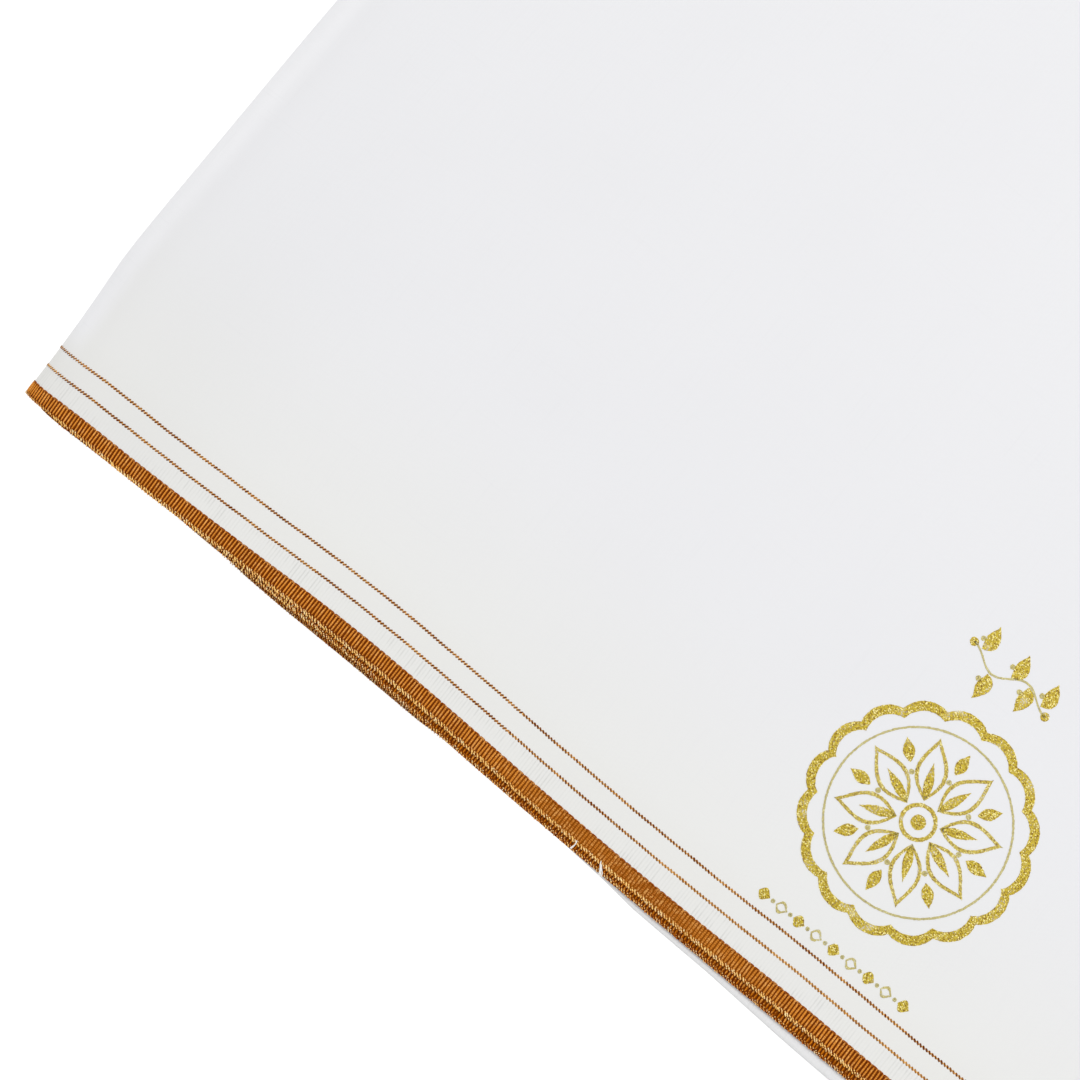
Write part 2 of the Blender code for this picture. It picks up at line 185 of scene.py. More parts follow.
OWN_EDGES = {
    (1, Lane.FIRST): TOP_FRONT_EDGE,
    (1, Lane.SECOND): SECOND_FRONT_EDGE,
    (1, Lane.FOURTH): FOLD_FRONT_EDGE,
    (NEXT_STRETCH, Lane.FIRST): NEXT_FRONT_EDGE,
}


# Name, dark tone, light tone, fleck, share of flecks, grain and beads of each laid thread.
THREADS = (
    ("ochre_rib_thread", (0.225, 0.042, 0.001), (0.860, 0.325, 0.042), (1.00, 0.56, 0.18), 0.40, 0.9, 0.14),
    ("shaded_rib_thread", (0.130, 0.016, 0.0005), (0.680, 0.200, 0.006), (0.95, 0.46, 0.10), 0.70, 1.5),
    ("cream_selvedge_thread", (0.560, 0.145, 0.004), (1.000, 0.630, 0.200), (1.00, 0.88, 0.54), 0.75),
    ("rust_stripe_thread", (0.135, 0.026, 0.001), (0.930, 0.520, 0.160), (0.70, 0.27, 0.03), 0.35, 0.4),
    ("loose_white_thread", (0.86, 0.85, 0.82), (0.95, 0.94, 0.92), (0.96, 0.96, 0.96), 0.4),
)


def ease(share: float) -> float:
    """Smooth step from 0 to 1, held outside that range."""
    held = min(max(share, 0.0), 1.0)
    return held * held * (3.0 - 2.0 * held)


def bell(place: float, middle: float, reach: float) -> float:
    """1 at the middle, falling softly to 0 past the reach on both sides."""
    return exp(-(((place - middle) / reach) ** 2))


def hash_share(index: int, salt: int) -> float:
    """A fixed, even-looking share from 0 to 1 for a thread's number."""
    value = sin(index * 12.9898 + salt * 78.233) * 43758.5453
    return value - floor(value)


def jitter(index: int, salt: int) -> float:
    """A fixed, even-looking value from -0.5 to 0.5 for a thread's number."""
    return hash_share(index, salt) - 0.5


def drift(run: float, salt: float, wave: float) -> float:
    """A slow wandering value from 0 to 1 along the border."""
    angle = tau * run / wave
    return 0.5 + 0.25 * sin(angle + salt) + 0.25 * sin(2.37 * angle + 1.7 * salt)


class Station(NamedTuple):
    """A place along the folded cloth.

    A flat stretch has into 0, and its share runs from the left tangent to the right one. Round a fold,
    into is the next stretch, and the share runs from 0 to 1 through half a turn.
    """

    stretch: int
    into: int
    share: float
    run: float = 0.0

    @property
    def nearest(self) -> int:
        """The stretch that the place belongs to: past half of a turn, the next one."""
        return self.into if self.into and self.share > 0.5 else self.stretch


class Place(NamedTuple):
    """A spot on the cloth's face with the directions along the border, across it and out of it."""

    point: Vector
    along: Vector
    across: Vector
    up: Vector

    def toward(self, angle: float) -> Vector:
        """A direction on the cloth, at an angle from the border."""
        return self.along * cos(angle) + self.across * sin(angle)


@dataclass
class FoldedPack:
    """The folded cloth's own geometry: where any layer lies, from the top cut end to the last one."""

    length: float = 250.0 * MM
    depth: float = 317.5 * MM
    pitch: float = 0.41 * MM
    cloth: float = 0.30 * MM
    nose_length: float = 14.0 * MM
    right_nose_ratio: float = 1.6
    back_nose_ratio: float = 2.2
    corner_length: float = 7.0 * MM
    corner_pull: float = 1.5 * MM
    ground_width: float = 3.44 * MM
    fold_draw: float = 0.65 * MM
    fold_reach: float = 16.0 * MM
    front_setback: float = 2.2 * MM
    blend_length: float = 30.0 * MM
    measured_deep: float = 2.0 * MM
    probe: float = 0.1 * MM
    fine_steps: tuple = (120, 96)
    run_steps: tuple = (8, 48)
    origin: Vector = field(default_factory=Vector)
    _fine: list = field(default_factory=list)
    _runs: list = field(default_factory=list)

    def __post_init__(self) -> None:
        """Find the pack's own origin in the frame, and measure the run of the cloth."""
        low_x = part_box("top_cloth")[0].x - min(LEFT_EDGE.shifts) * MM
        low_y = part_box("front_fold")[0].y - min(FOLD_FRONT_EDGE.shifts) * MM
        self.origin = Vector((low_x, low_y, 0.0))
        self._fine = self.stations(*self.fine_steps)
        self._runs = [station.run for station in self._fine]

    @property
    def height(self) -> float:
        """Height of all the layers."""
        return STRETCHES * LAYERS_PER_STRETCH * self.pitch

    @property
    def left_nose_ratio(self) -> float:
        """How far the left fold bulges for its radius."""
        return self.nose_length / (0.5 * self.height)

    def middle(self, stretch: int) -> float:
        """Height of the middle of a stretch, counted from the top."""
        return self.height - (LAYERS_PER_STRETCH * stretch - 0.5 * LAYERS_PER_STRETCH) * self.pitch

    def swell(self, along: float, deep: float) -> float:
        """How far the top is raised at one place by all its swells."""
        return MM * sum(swell.at(along / MM, deep / MM) for swell in SWELLS)

    def left_tangent(self, deep: float) -> float:
        """Where the flat stretches begin to turn round the left fold."""
        return LEFT_EDGE.at(deep) + self.nose_length

    def right_tangent(self, stretch: int, deep: float) -> float:
        """Where a stretch ends, or begins to turn round its right fold."""
        return self.length + RIGHT_EDGE.at(deep) + STRETCH_ROWS[stretch].right_end * MM

    def point(self, station: Station, deep: float, out: float) -> Vector:
        """A point of the pack in the shared frame.

        Args:
            station: where along the folded cloth.
            deep: distance from the pack's front line.
            out: distance from the middle of the stretch, towards its first layer.

        Returns:
            The point in metres.
        """
        odd = station.stretch % 2
        height = self.middle(station.stretch) + (out if odd else -out)
        if not station.into:
            left = self.left_tangent(deep)
            along = left + (self.right_tangent(station.stretch, deep) - left) * station.share
        else:
            centre = 0.5 * (self.middle(station.stretch) + self.middle(station.into))
            radius, angle = height - centre, pi * station.share
            reach = abs(radius) * sin(angle)
            height = centre + radius * cos(angle)
            if odd:
                along = self.left_tangent(deep) - self.left_nose_ratio * reach
            else:
                along = self.right_tangent(station.stretch, deep) + self.right_nose_ratio * reach
        height *= 1.0 + self.swell(along, deep) / self.height
        return self.origin + Vector((along, deep, height))

    def nominal_along(self, station: Station) -> float:
        """Distance from the left fold that the edges are read at.

        Args:
            station: where along the folded cloth.

        Returns:
            The distance in metres.
        """
        if not station.into:
            return self.nose_length + (self.length - self.nose_length) * station.share
        if station.stretch % 2 == 0:
            return self.length
        radius = abs(self.middle(station.stretch) - 0.5 * self.height)
        return self.nose_length - self.left_nose_ratio * radius * sin(pi * station.share)

    def own_front(self, lane: Lane, stretch: int, along: float) -> float:
        """Front line of a lane on one stretch, before it is joined to its neighbours.

        Args:
            lane: which layer of the stretch.
            stretch: which stretch.
            along: distance from the left fold.

        Returns:
            The line's distance from the pack's front line.
        """
        if (stretch, lane) in OWN_EDGES:
            return OWN_EDGES[stretch, lane].at(along)
        row = STRETCH_ROWS[stretch]
        shift = {Lane.FIRST: row.first_selvedge, Lane.SECOND: row.second_selvedge}.get(lane, row.front_fold)
        return FOLD_FRONT_EDGE.at(along) + self.front_setback + shift * MM

    def own_back(self, stretch: int, along: float) -> float:
        """Back line of a stretch at a distance along, before it is joined to its neighbours."""
        return self.depth + BACK_EDGE.at(along) + STRETCH_ROWS[stretch].back_fold * MM

    def joined(self, own: Callable[[int, float], float], station: Station) -> float:
        """Read a line of one stretch, drawn to its neighbours' lines where the cloth turns.

        Args:
            own: the line of a stretch at a distance along.
            station: where along the folded cloth.

        Returns:
            The line's distance from the pack's front line.
        """
        stretch, along = station.nearest, self.nominal_along(station)
        line = own(stretch, along)
        if stretch != 1:
            partner = STRETCHES + 1 - stretch
            meeting = own(1, along) if partner == 1 else 0.5 * (own(stretch, 0.0) + own(partner, 0.0))
            line = meeting + (line - meeting) * ease(along / self.blend_length)
        if stretch in RIGHT_PAIRS:
            meeting = 0.5 * (own(stretch, self.length) + own(RIGHT_PAIRS[stretch], self.length))
            line = meeting + (line - meeting) * ease((self.length - along) / self.blend_length)
        return line

    def front(self, lane: Lane, station: Station) -> float:
        """Front line of a lane, drawn back at the left fold's corner.

        Args:
            lane: which layer of the stretch.
            station: where along the folded cloth.

        Returns:
            The line's distance from the pack's front line.
        """
        line = self.joined(lambda stretch, along: self.own_front(lane, stretch, along), station)
        share = max(self.corner_length - self.nominal_along(station), 0.0) / self.corner_length
        return line + self.corner_pull * (1.0 - sqrt(max(0.0, 1.0 - share * share)))

    def back(self, station: Station) -> float:
        """Back line, where the layers begin to turn, at a station."""
        return self.joined(self.own_back, station) - 1.5 * self.pitch * self.back_nose_ratio

    def stations(
        self, flat_steps: int, turn_steps: int, first: int = 0, last: int = STRETCHES
    ) -> list[Station]:
        """Places along the folded cloth.

        Args:
            flat_steps: steps on each stretch.
            turn_steps: steps round each fold.
            first: first stretch in the order of folding, counted from 0.
            last: stretch in that order to stop before; the fold into it is still included.

        Returns:
            The stations in order, each with its run of cloth from the top cut end.
        """
        places = []
        for index, stretch in enumerate(FOLD_ORDER):
            shares = [i / flat_steps for i in range(flat_steps + 1)]
            if stretch % 2:
                shares.reverse()
            places += [(index, Station(stretch, 0, share)) for share in shares]
            if index + 1 < STRETCHES:
                into = FOLD_ORDER[index + 1]
                places += [(index, Station(stretch, into, i / turn_steps)) for i in range(1, turn_steps)]
        run, before, result = 0.0, None, []
        for index, station in places:
            here = self.point(station, self.measured_deep, Lane.FIRST.value * self.pitch)
            run += (here - before).length if before else 0.0
            before = here
            if first <= index <= last:
                result.append(station._replace(run=run))
            if index == last:
                break
        return result

    def at_run(self, run: float) -> Station:
        """Find a station.

        Args:
            run: run of cloth from the top cut end.

        Returns:
            The station there.
        """
        index = min(max(bisect_left(self._runs, run) - 1, 0), len(self._runs) - 2)
        low, high = self._fine[index], self._fine[index + 1]
        share = (run - low.run) / max(high.run - low.run, 1e-9)
        if high.into and not low.into:
            return high._replace(share=high.share * share, run=run)
        end = 1.0 if low.into and not high.into else high.share
        return low._replace(share=low.share + (end - low.share) * share, run=run)

    def place(self, lane: Lane, run: float, across: float, lift: float) -> Place:
        """A spot on the outer face of a lane.

        Args:
            lane: which layer of the stretch.
            run: run of cloth from the top cut end.
            across: distance from the selvedge.
            lift: height above the cloth's face.

        Returns:
            The spot and its directions.
        """
        step = self.probe
        out = lane.value * self.pitch + 0.5 * self.cloth + lift

        def spot(run_at: float, across_at: float, out_at: float) -> Vector:
            """A point near the spot."""
            station = self.at_run(run_at)
            return self.point(station, self.front(lane, station) + across_at, out_at)

        point = spot(run, across, out)
        along = (spot(run + step, across, out) - spot(run - step, across, out)).normalized()
        side = (spot(run, across + step, out) - spot(run, across - step, out)).normalized()
        up = (spot(run, across, out + step) - point).normalized()
        return Place(point, along, side, up)

    def top_point(self, along: float, deep: float, lift: float) -> Vector:
        """A point over the flat top.

        Args:
            along: distance along the border.
            deep: distance back from the pack's front line.
            lift: height over the cloth's face.

        Returns:
            The point in metres.
        """
        left, right = self.left_tangent(deep), self.right_tangent(1, deep)
        station = Station(1, 0, (along - left) / (right - left))
        return self.point(station, deep, Lane.FIRST.value * self.pitch + 0.5 * self.cloth + lift)

    def drawn(self, run: float) -> float:
        """How far the weave is drawn to the front beside the left fold."""
        return self.fold_draw * bell(run, self.length, self.fold_reach)

    def run_at(self, stretch: int, along: float) -> float:
        """Run of cloth nearest to a distance along the flat part of a stretch."""
        flat = (s for s in self._fine if s.stretch == stretch and not s.into)
        return min(flat, key=lambda s: abs(self.nominal_along(s) - along)).run

    def outer_run(self) -> float:
        """Run of cloth from the top cut end to the end of the fold after the under stretch."""
        return self.stations(*self.run_steps, 0, OUTER_RUNS)[-1].run


class Sock:
    """A node's value: arithmetic on it adds Math nodes to its tree."""

    def __init__(self, desk: "NodeDesk", socket: bpy.types.NodeSocket) -> None:
        """Wrap one output socket of a desk's tree."""
        self.desk = desk
        self.socket = socket

    def math(self, operation: str, *values: Number, clamp: bool = False) -> "Sock":
        """Add one Math node with this value first."""
        settings = {"operation": operation, "use_clamp": clamp}
        return self.desk.node("ShaderNodeMath", settings, dict(enumerate((self, *values))))["Value"]

    def __add__(self, other: Number) -> "Sock":
        """Sum."""
        return self.math("ADD", other)

    __radd__ = __add__

    def __sub__(self, other: Number) -> "Sock":
        """Difference."""
        return self.math("SUBTRACT", other)

    def __rsub__(self, other: float) -> "Sock":
        """Difference from a number."""
        return (self * -1.0) + other

    def __mul__(self, other: Number) -> "Sock":
        """Product."""
        return self.math("MULTIPLY", other)

    __rmul__ = __mul__

    def sine(self) -> "Sock":
        """Sine of an angle in radians."""
        return self.math("SINE")

    def size(self) -> "Sock":
        """Absolute value."""
        return self.math("ABSOLUTE")

    def held(self) -> "Sock":
        """This value held between 0 and 1."""
        return self.math("ADD", 0.0, clamp=True)

    def step(self, low: float, high: float) -> "Sock":
        """Smooth step from 0 at low to 1 at high."""
        inputs = {"Value": self, "From Min": low, "From Max": high}
        return self.desk.node("ShaderNodeMapRange", {"interpolation_type": "SMOOTHSTEP"}, inputs)["Result"]


class NodeOutputs:
    """The outputs of a node just made, as values by name."""

    def __init__(self, desk: "NodeDesk", node: bpy.types.Node) -> None:
        """Keep the node whose outputs are asked for."""
        self.desk = desk
        self.node = node

    def __getitem__(self, name: str) -> Sock:
        """The enabled output of that name."""
        return Sock(self.desk, next(s for s in self.node.outputs if s.name == name and s.enabled))


class NodeDesk:
    """Adds nodes to a tree."""

    def __init__(self, tree: bpy.types.NodeTree) -> None:
        """Keep the tree."""
        self.tree = tree

    def put(self, socket: bpy.types.NodeSocket, value: object) -> None:
        """Feed an input.

        Args:
            socket: the input.
            value: a node's value to link to it, or a plain value; a colour may lack its alpha.
        """
        if isinstance(value, Sock):
            self.tree.links.new(value.socket, socket)
        elif socket.type == "RGBA" and len(value) == 3:
            socket.default_value = (*value, 1.0)
        else:
            socket.default_value = value

    def node(self, kind: str, settings: Values = None, inputs: Values = None) -> NodeOutputs:
        """Add a node.

        Args:
            kind: the node's type name.
            settings: its properties, set before its inputs.
            inputs: plain values or nodes' values, by socket name or index.

        Returns:
            Its outputs.
        """
        made = self.tree.nodes.new(kind)
        for key, value in (settings or {}).items():
            setattr(made, key, value)
        for key, value in (inputs or {}).items():
            named = (socket for socket in made.inputs if socket.name == key and socket.enabled)
            self.put(next(named) if isinstance(key, str) else made.inputs[key], value)
        return NodeOutputs(self, made)


class ShaderDesk(NodeDesk):
    """Builds one material's node tree."""

    def __init__(self, name: str) -> None:
        """Start a material with a Principled shader.

        Args:
            name: the material's name.
        """
        self.material = bpy.data.materials.new(name)
        self.material.use_nodes = True
        super().__init__(self.material.node_tree)

    def cloth_uv(self) -> tuple[Sock, Sock, Sock]:
        """Read the cloth's own map.

        Returns:
            Its vector, the run along the border and the distance from the selvedge.
        """
        uv = self.node("ShaderNodeUVMap", {"uv_map": "cloth"})["UV"]
        parts = self.node("ShaderNodeSeparateXYZ", {}, {"Vector": uv})
        return uv, parts["X"], parts["Y"]

    def place(self) -> Sock:
        """Object coordinates, in metres of the shared frame."""
        return self.node("ShaderNodeTexCoord")["Object"]

    def stretched(self, vector: Sock, x: float, y: float) -> Sock:
        """A vector with its first two parts scaled."""
        inputs = {0: vector, 1: (x, y, 1.0)}
        return self.node("ShaderNodeVectorMath", {"operation": "MULTIPLY"}, inputs)["Vector"]

    def noise(self, vector: Sock, scale: float = 1.0, detail: float = 2.0, roughness: float = 0.5) -> Sock:
        """Soft noise from 0 to 1."""
        inputs = {"Vector": vector, "Scale": scale, "Detail": detail, "Roughness": roughness}
        return self.node("ShaderNodeTexNoise", {}, inputs)["Fac"]

    def grains(self, vector: Sock, scale: float) -> Sock:
        """A random value for each grain of a broken-up surface."""
        cells = self.node("ShaderNodeTexVoronoi", {}, {"Vector": vector, "Scale": scale})["Color"]
        return self.node("ShaderNodeSeparateColor", {}, {"Color": cells})["Red"]

    def blend(self, share: Number, first: Union[Colour, Sock], second: Union[Colour, Sock]) -> Sock:
        """A colour between two others."""
        inputs = {"Factor": share, "A": first, "B": second}
        return self.node("ShaderNodeMix", {"data_type": "RGBA"}, inputs)["Result"]

    def weave(self, run: Sock, across: Sock, pitches: Reach) -> Sock:
        """Crossed waves of a plain weave's weft and warp, from -1 to 1."""
        return (run * (tau / pitches[0])).sine() * (across * (tau / pitches[1])).sine()

    def tone(self) -> Sock:
        """The tone stored on each laid thread, from 0, dark, to 1, light."""
        return self.node("ShaderNodeAttribute", {"attribute_name": "tone"})["Fac"]

    def finish(
        self, height: Union[Sock, None], distance: float, strength: float, **values: object
    ) -> Material:
        """Feed the Principled shader and return the material.

        Args:
            height: height of the relief, from 0 to 1, or None for a plain surface.
            distance: depth of that relief.
            strength: share of it that shows.
            values: the shader's other inputs, with an underscore for each space of their names.

        Returns:
            The finished material.
        """
        if height:
            inputs = {"Height": height, "Distance": distance, "Strength": strength}
            values["Normal"] = self.node("ShaderNodeBump", {}, inputs)["Normal"]
        for name, value in values.items():
            self.put(self.tree.nodes["Principled BSDF"].inputs[name.replace("_", " ")], value)
        return self.material


@dataclass(frozen=True)
class FineCotton:
    """Ironed plain-woven white cotton, warmer and ribbed beside its border, with painted light and shade: a
    painted highlight on the left fold, painted shade beside that fold, beside the border and in the grooves
    of its ribs.
    """

    name: str = "fine_white_cotton"
    colour: Colour = (0.800, 0.802, 0.822)
    slub_colour: Colour = (0.750, 0.752, 0.772)
    # painted shade in the grooves of the ribbed weave beside the border
    groove_shade_colour: Colour = (0.680, 0.680, 0.658)
    weft_grain: Reach = (2600.0, 55.0)
    warp_grain: Reach = (40.0, 2400.0)
    patch_grain: Reach = (70.0, 200.0)
    line_grain: Reach = (1100.0, 130.0)
    cloud_scale: float = 26.0
    rib_zone: float = 7.4 * MM
    # painted shade: the cloth is painted a little darker, and a little warmer, beside the border
    border_shade_colour: Colour = (0.786, 0.784, 0.762)
    border_shade_reach: Reach = (8.0 * MM, 19.0 * MM)
    warm_colour: Colour = (0.800, 0.802, 0.784)
    warm_reach: Reach = (0.0, 62.0 * MM)
    # painted highlight: the cloth is painted lighter along the left fold, as if more light fell there
    fold_highlight_colour: Colour = (0.862, 0.864, 0.884)
    fold_highlight_run: float = 247.6 * MM
    fold_highlight_reach: Reach = (4.5 * MM, 9.4 * MM)
    fold_highlight_growth: float = 0.022
    shade_colour: Colour = (0.600, 0.600, 0.600)
    shade_share: float = 0.115
    shade_run: float = 224.5 * MM
    shade_reach: Reach = (0.0, 31.0 * MM)
    shade_deep: Reach = (20.0 * MM, 90.0 * MM)

    def tint(self, desk: ShaderDesk, run: Sock, across: Sock) -> Sock:
        """The cloth's slow changes of colour, with a painted highlight on the left fold and painted shade
        beside that fold and beside the border.

        Args:
            desk: the material's desk.
            run: place along the border.
            across: distance from the selvedge.

        Returns:
            The colour before its weave and ribs.
        """
        warmed = desk.blend(1.0 - across.step(*self.warm_reach), self.colour, self.warm_colour)
        fold = (run - self.fold_highlight_run).size() - across * self.fold_highlight_growth
        # painted highlight along the left fold
        fold_highlighted = desk.blend(1.0 - fold.step(*self.fold_highlight_reach), warmed, self.fold_highlight_colour)
        # painted shade, a little warmer, beside the border
        border_shaded = desk.blend(1.0 - across.step(*self.border_shade_reach), fold_highlighted, self.border_shade_colour)
        # painted shade beside the left fold
        shade = 1.0 - (run - self.shade_run).size().step(*self.shade_reach)
        shade = shade * (1.0 - across.step(*self.shade_deep)) * self.shade_share
        return desk.blend(shade, border_shaded, self.shade_colour)

    def build(self) -> Material:
        """Make the material.

        Returns:
            The finished material.
        """
        desk = ShaderDesk(self.name)
        uv, run, across = desk.cloth_uv()
        weave = desk.weave(run, across, WHITE_PITCHES) * 0.5 + 0.5
        weft_slub = desk.noise(desk.stretched(uv, *self.weft_grain))
        warp_slub = desk.noise(desk.stretched(uv, *self.warp_grain))
        cloud = desk.noise(uv, self.cloud_scale, 3.0)
        ribs = (run * (0.5 * tau / WHITE_PITCHES[0])).sine() * 0.5 + 0.5
        ribbed = 1.0 - across.step(0.90 * self.rib_zone, 1.05 * self.rib_zone)
        patches = desk.noise(desk.stretched(uv, *self.patch_grain)).step(0.40, 0.65)
        lines = desk.noise(desk.stretched(uv, *self.line_grain)).step(0.36, 0.66)
        groove = ribs.step(0.35, 1.0) * ribbed * (patches * lines * 1.15 + 0.15)
        slub = (weft_slub.step(0.56, 0.80) + warp_slub.step(0.58, 0.82)) * 0.5
        thread = (slub * 0.45 + cloud.step(0.35, 0.75) * 0.12).held()
        # painted shade: the grooves between the faint ribs are painted darker
        grooved = desk.blend(groove, self.tint(desk, run, across), self.groove_shade_colour)
        return desk.finish(
            weave * 0.55 + weft_slub * 0.30 + warp_slub * 0.15 - groove * 0.9, THREAD_RELIEF, 0.55,
            Base_Color=desk.blend(thread, grooved, self.slub_colour),
            Roughness=cloud * 0.10 + 0.80,
            Sheen_Weight=0.12,
            Sheen_Roughness=0.45,
            Specular_IOR_Level=0.25,
        )


@dataclass(frozen=True)
class ShadedLayerCotton:
    """The same cotton where only its edges and folds show, painted a little darker than the top as shade on
    those edges and folds.
    """

    name: str = "shaded_layered_cotton"
    colour: Colour = (0.790, 0.790, 0.796)
    dark: Colour = (0.720, 0.720, 0.724)
    grain: Reach = (2200.0, 300.0)

    def build(self) -> Material:
        """Make the material.

        Returns:
            The finished material.
        """
        desk = ShaderDesk(self.name)
        uv, run, across = desk.cloth_uv()
        fibre = desk.noise(desk.stretched(uv, *self.grain), 1.0, 3.0)
        share = (fibre.step(0.45, 0.80) * 0.6 + desk.noise(desk.place(), 60.0) * 0.3).held()
        return desk.finish(
            desk.weave(run, across, WHITE_PITCHES) * 0.3 + fibre, THREAD_RELIEF, 0.5,
            Base_Color=desk.blend(share, self.colour, self.dark),
            Roughness=fibre * 0.1 + 0.82,
            Specular_IOR_Level=0.25,
        )


@dataclass(frozen=True)
class BandGround:
    """The close ground of the woven band, seen between its ribs, and lighter where they are rubbed; its dark
    brown is partly the ground thread's own colour and partly painted shade in the grooves between the ribs.
    """

    name: str = "band_ground"
    # dark brown: the ground thread's colour, darkened further as painted shade in the grooves between the
    # ribs
    colour: Colour = (0.122, 0.018, 0.0005)
    light: Colour = (0.240, 0.060, 0.002)
    rubbed: Colour = (0.240, 0.066, 0.002)
    grain: Reach = (500.0, 3200.0)

    def build(self) -> Material:
        """Make the material.

        Returns:
            The finished material.
        """
        desk = ShaderDesk(self.name)
        uv, run, _ = desk.cloth_uv()
        ribs = (run * (tau / RIB_PITCH)).sine() * 0.5 + 0.5
        fibre = desk.noise(desk.stretched(uv, *self.grain), 1.0, 3.0)
        middle, reach = RUBBED_RUN
        rubbed = 1.0 - (run - middle).size().step(0.35 * reach, 1.2 * reach)
        ground = desk.blend(rubbed, self.colour, self.rubbed)
        return desk.finish(
            ribs * 0.7 + fibre * 0.3, 0.06 * MM, 0.8,
            Base_Color=desk.blend((ribs * fibre * 1.1).held(), ground, self.light),
            Roughness=fibre * 0.15 + 0.70,
            Specular_IOR_Level=0.02,
        )


@dataclass(frozen=True)
class LaidThread:
    """Dyed thread that lies on the cloth, between a dark and a light tone."""

    name: str
    dark: Colour
    light: Colour
    fleck: Colour
    fleck_share: float
    grain: float = 0.9
    beads: float = 0.0
    bead_pitch: float = 0.39 * MM
    specular: float = 0.02

    def build(self) -> Material:
        """Make the material.

        Returns:
            The finished material.
        """
        desk = ShaderDesk(self.name)
        where = desk.place()
        fibre = desk.noise(where, 4300.0, 2.0, 0.6)
        patch = desk.noise(where, 700.0)
        deep = desk.node("ShaderNodeSeparateXYZ", {}, {"Vector": where})["Y"]
        beads = (deep * (tau / self.bead_pitch) + patch * 9.0).sine() * self.beads
        tone = (desk.tone() + (fibre - 0.5) * self.grain + beads).held()
        flecks = (fibre * patch * 4.0).step(1.00, 1.40) * self.fleck_share
        return desk.finish(
            fibre, THREAD_RELIEF, 0.6,
            Base_Color=desk.blend(flecks, desk.blend(tone, self.dark, self.light), self.fleck),
            Roughness=fibre * 0.2 + 0.6,
            Specular_IOR_Level=self.specular,
        )


@dataclass(frozen=True)
class GoldInk:
    """Glittering gold printing ink, broken by the weave under it, with the glitter's sparkle painted on as
    light grains.
    """

    name: str = "gold_ink"
    gold: Colour = (0.612, 0.466, 0.032)
    shade: Colour = (0.175, 0.072, 0.0015)
    # painted glints: light grains that stand in for the glitter catching the light
    painted_glint_colour: Colour = (0.930, 0.840, 0.360)
    bare: Colour = (0.760, 0.740, 0.640)
    thin: Colour = (0.520, 0.500, 0.300)
    slant: float = radians(18.0)
    dash_grain: Reach = (2100.0, 4600.0)
    glitter_scale: float = 5200.0

    def build(self) -> Material:
        """Make the material.

        Returns:
            The finished material.
        """
        desk = ShaderDesk(self.name)
        where = desk.place()
        turned = {"Vector": where, "Rotation": (0.0, 0.0, self.slant)}
        slanted = desk.node("ShaderNodeMapping", {}, turned)["Vector"]
        dashes = desk.noise(desk.stretched(slanted, *self.dash_grain), 1.0, 2.0, 0.6)
        grains = desk.grains(where, self.glitter_scale)
        body = desk.blend(dashes.step(0.36, 0.56), self.shade, self.gold)
        # painted glints on the ink
        glinted = desk.blend(grains.step(0.80, 0.92), body, self.painted_glint_colour)
        worn = ((1.0 - dashes) * desk.noise(where, 300.0) * 2.6).step(0.86, 1.05)
        return desk.finish(
            grains * 0.5 + dashes * 0.5, 0.05 * MM, 0.7,
            Base_Color=desk.blend(desk.tone(), desk.blend(worn * 0.75, glinted, self.bare), self.thin),
            Metallic=(1.0 - worn) * 0.35,
            Roughness=grains * 0.35 + 0.32,
        )


@dataclass(frozen=True)
class PalePaper:
    """The pale seamless paper that the pack lies on, lit from within so that it stays clear of shadow."""

    name: str = "pale_paper"
    colour: Colour = (0.45, 0.45, 0.45)
    grain_colour: Colour = (0.42, 0.42, 0.42)
    glow: float = 0.78

    def build(self) -> Material:
        """Make the material.

        Returns:
            The finished material.
        """
        desk = ShaderDesk(self.name)
        grain = desk.noise(desk.place(), 900.0)
        return desk.finish(
            None, 0.0, 0.0,
            Base_Color=desk.blend(grain * 0.2, self.colour, self.grain_colour),
            Roughness=grain * 0.1 + 0.85,
            Emission_Color=(1.0, 1.0, 1.0),
            Emission_Strength=self.glow,
        )


def mesh_object(
    name: str,
    points: np.ndarray,
    faces: Union[np.ndarray, list],
    material: Material,
    uv: Union[np.ndarray, None] = None,
) -> Object:
    """Make a smooth-shaded object at the origin.

    Args:
        name: the object's name.
        points: its points, one a row.
        faces: the points of each face.
        material: its finish.
        uv: the cloth's own map, a place for each point.

    Returns:
        The new object.
    """
    data = bpy.data.meshes.new(name)
    data.from_pydata([tuple(p) for p in points], [], [tuple(int(i) for i in f) for f in faces])
    if uv is not None:
        corners = np.zeros(len(data.loops), np.int32)
        data.loops.foreach_get("vertex_index", corners)
        data.uv_layers.new(name="cloth").data.foreach_set("uv", uv[corners].astype(np.float32).ravel())
    data.materials.append(material)
    data.update()
    data.shade_smooth()
    data.set_sharp_from_angle(angle=radians(50.0))
    made = bpy.data.objects.new(name, data)
    bpy.context.scene.collection.objects.link(made)
    return made


class Spot(NamedTuple):
    """A point of a layer's cross-section: its depth, its height off the stretch's middle, its map place."""

    deep: float
    out: float
    across: float


def flat_run(start: float, stop: float, out: float, steps: int, zero: float = 0.0) -> list[Spot]:
    """Spots of a flat run of cloth.

    Args:
        start: depth of its first spot.
        stop: depth of its last one.
        out: its height.
        steps: how many steps between them.
        zero: depth that the map's place is counted from.

    Returns:
        The spots in order.
    """
    deeps = [start + (stop - start) * i / steps for i in range(steps + 1)]
    return [Spot(deep, out, deep - zero) for deep in deeps]


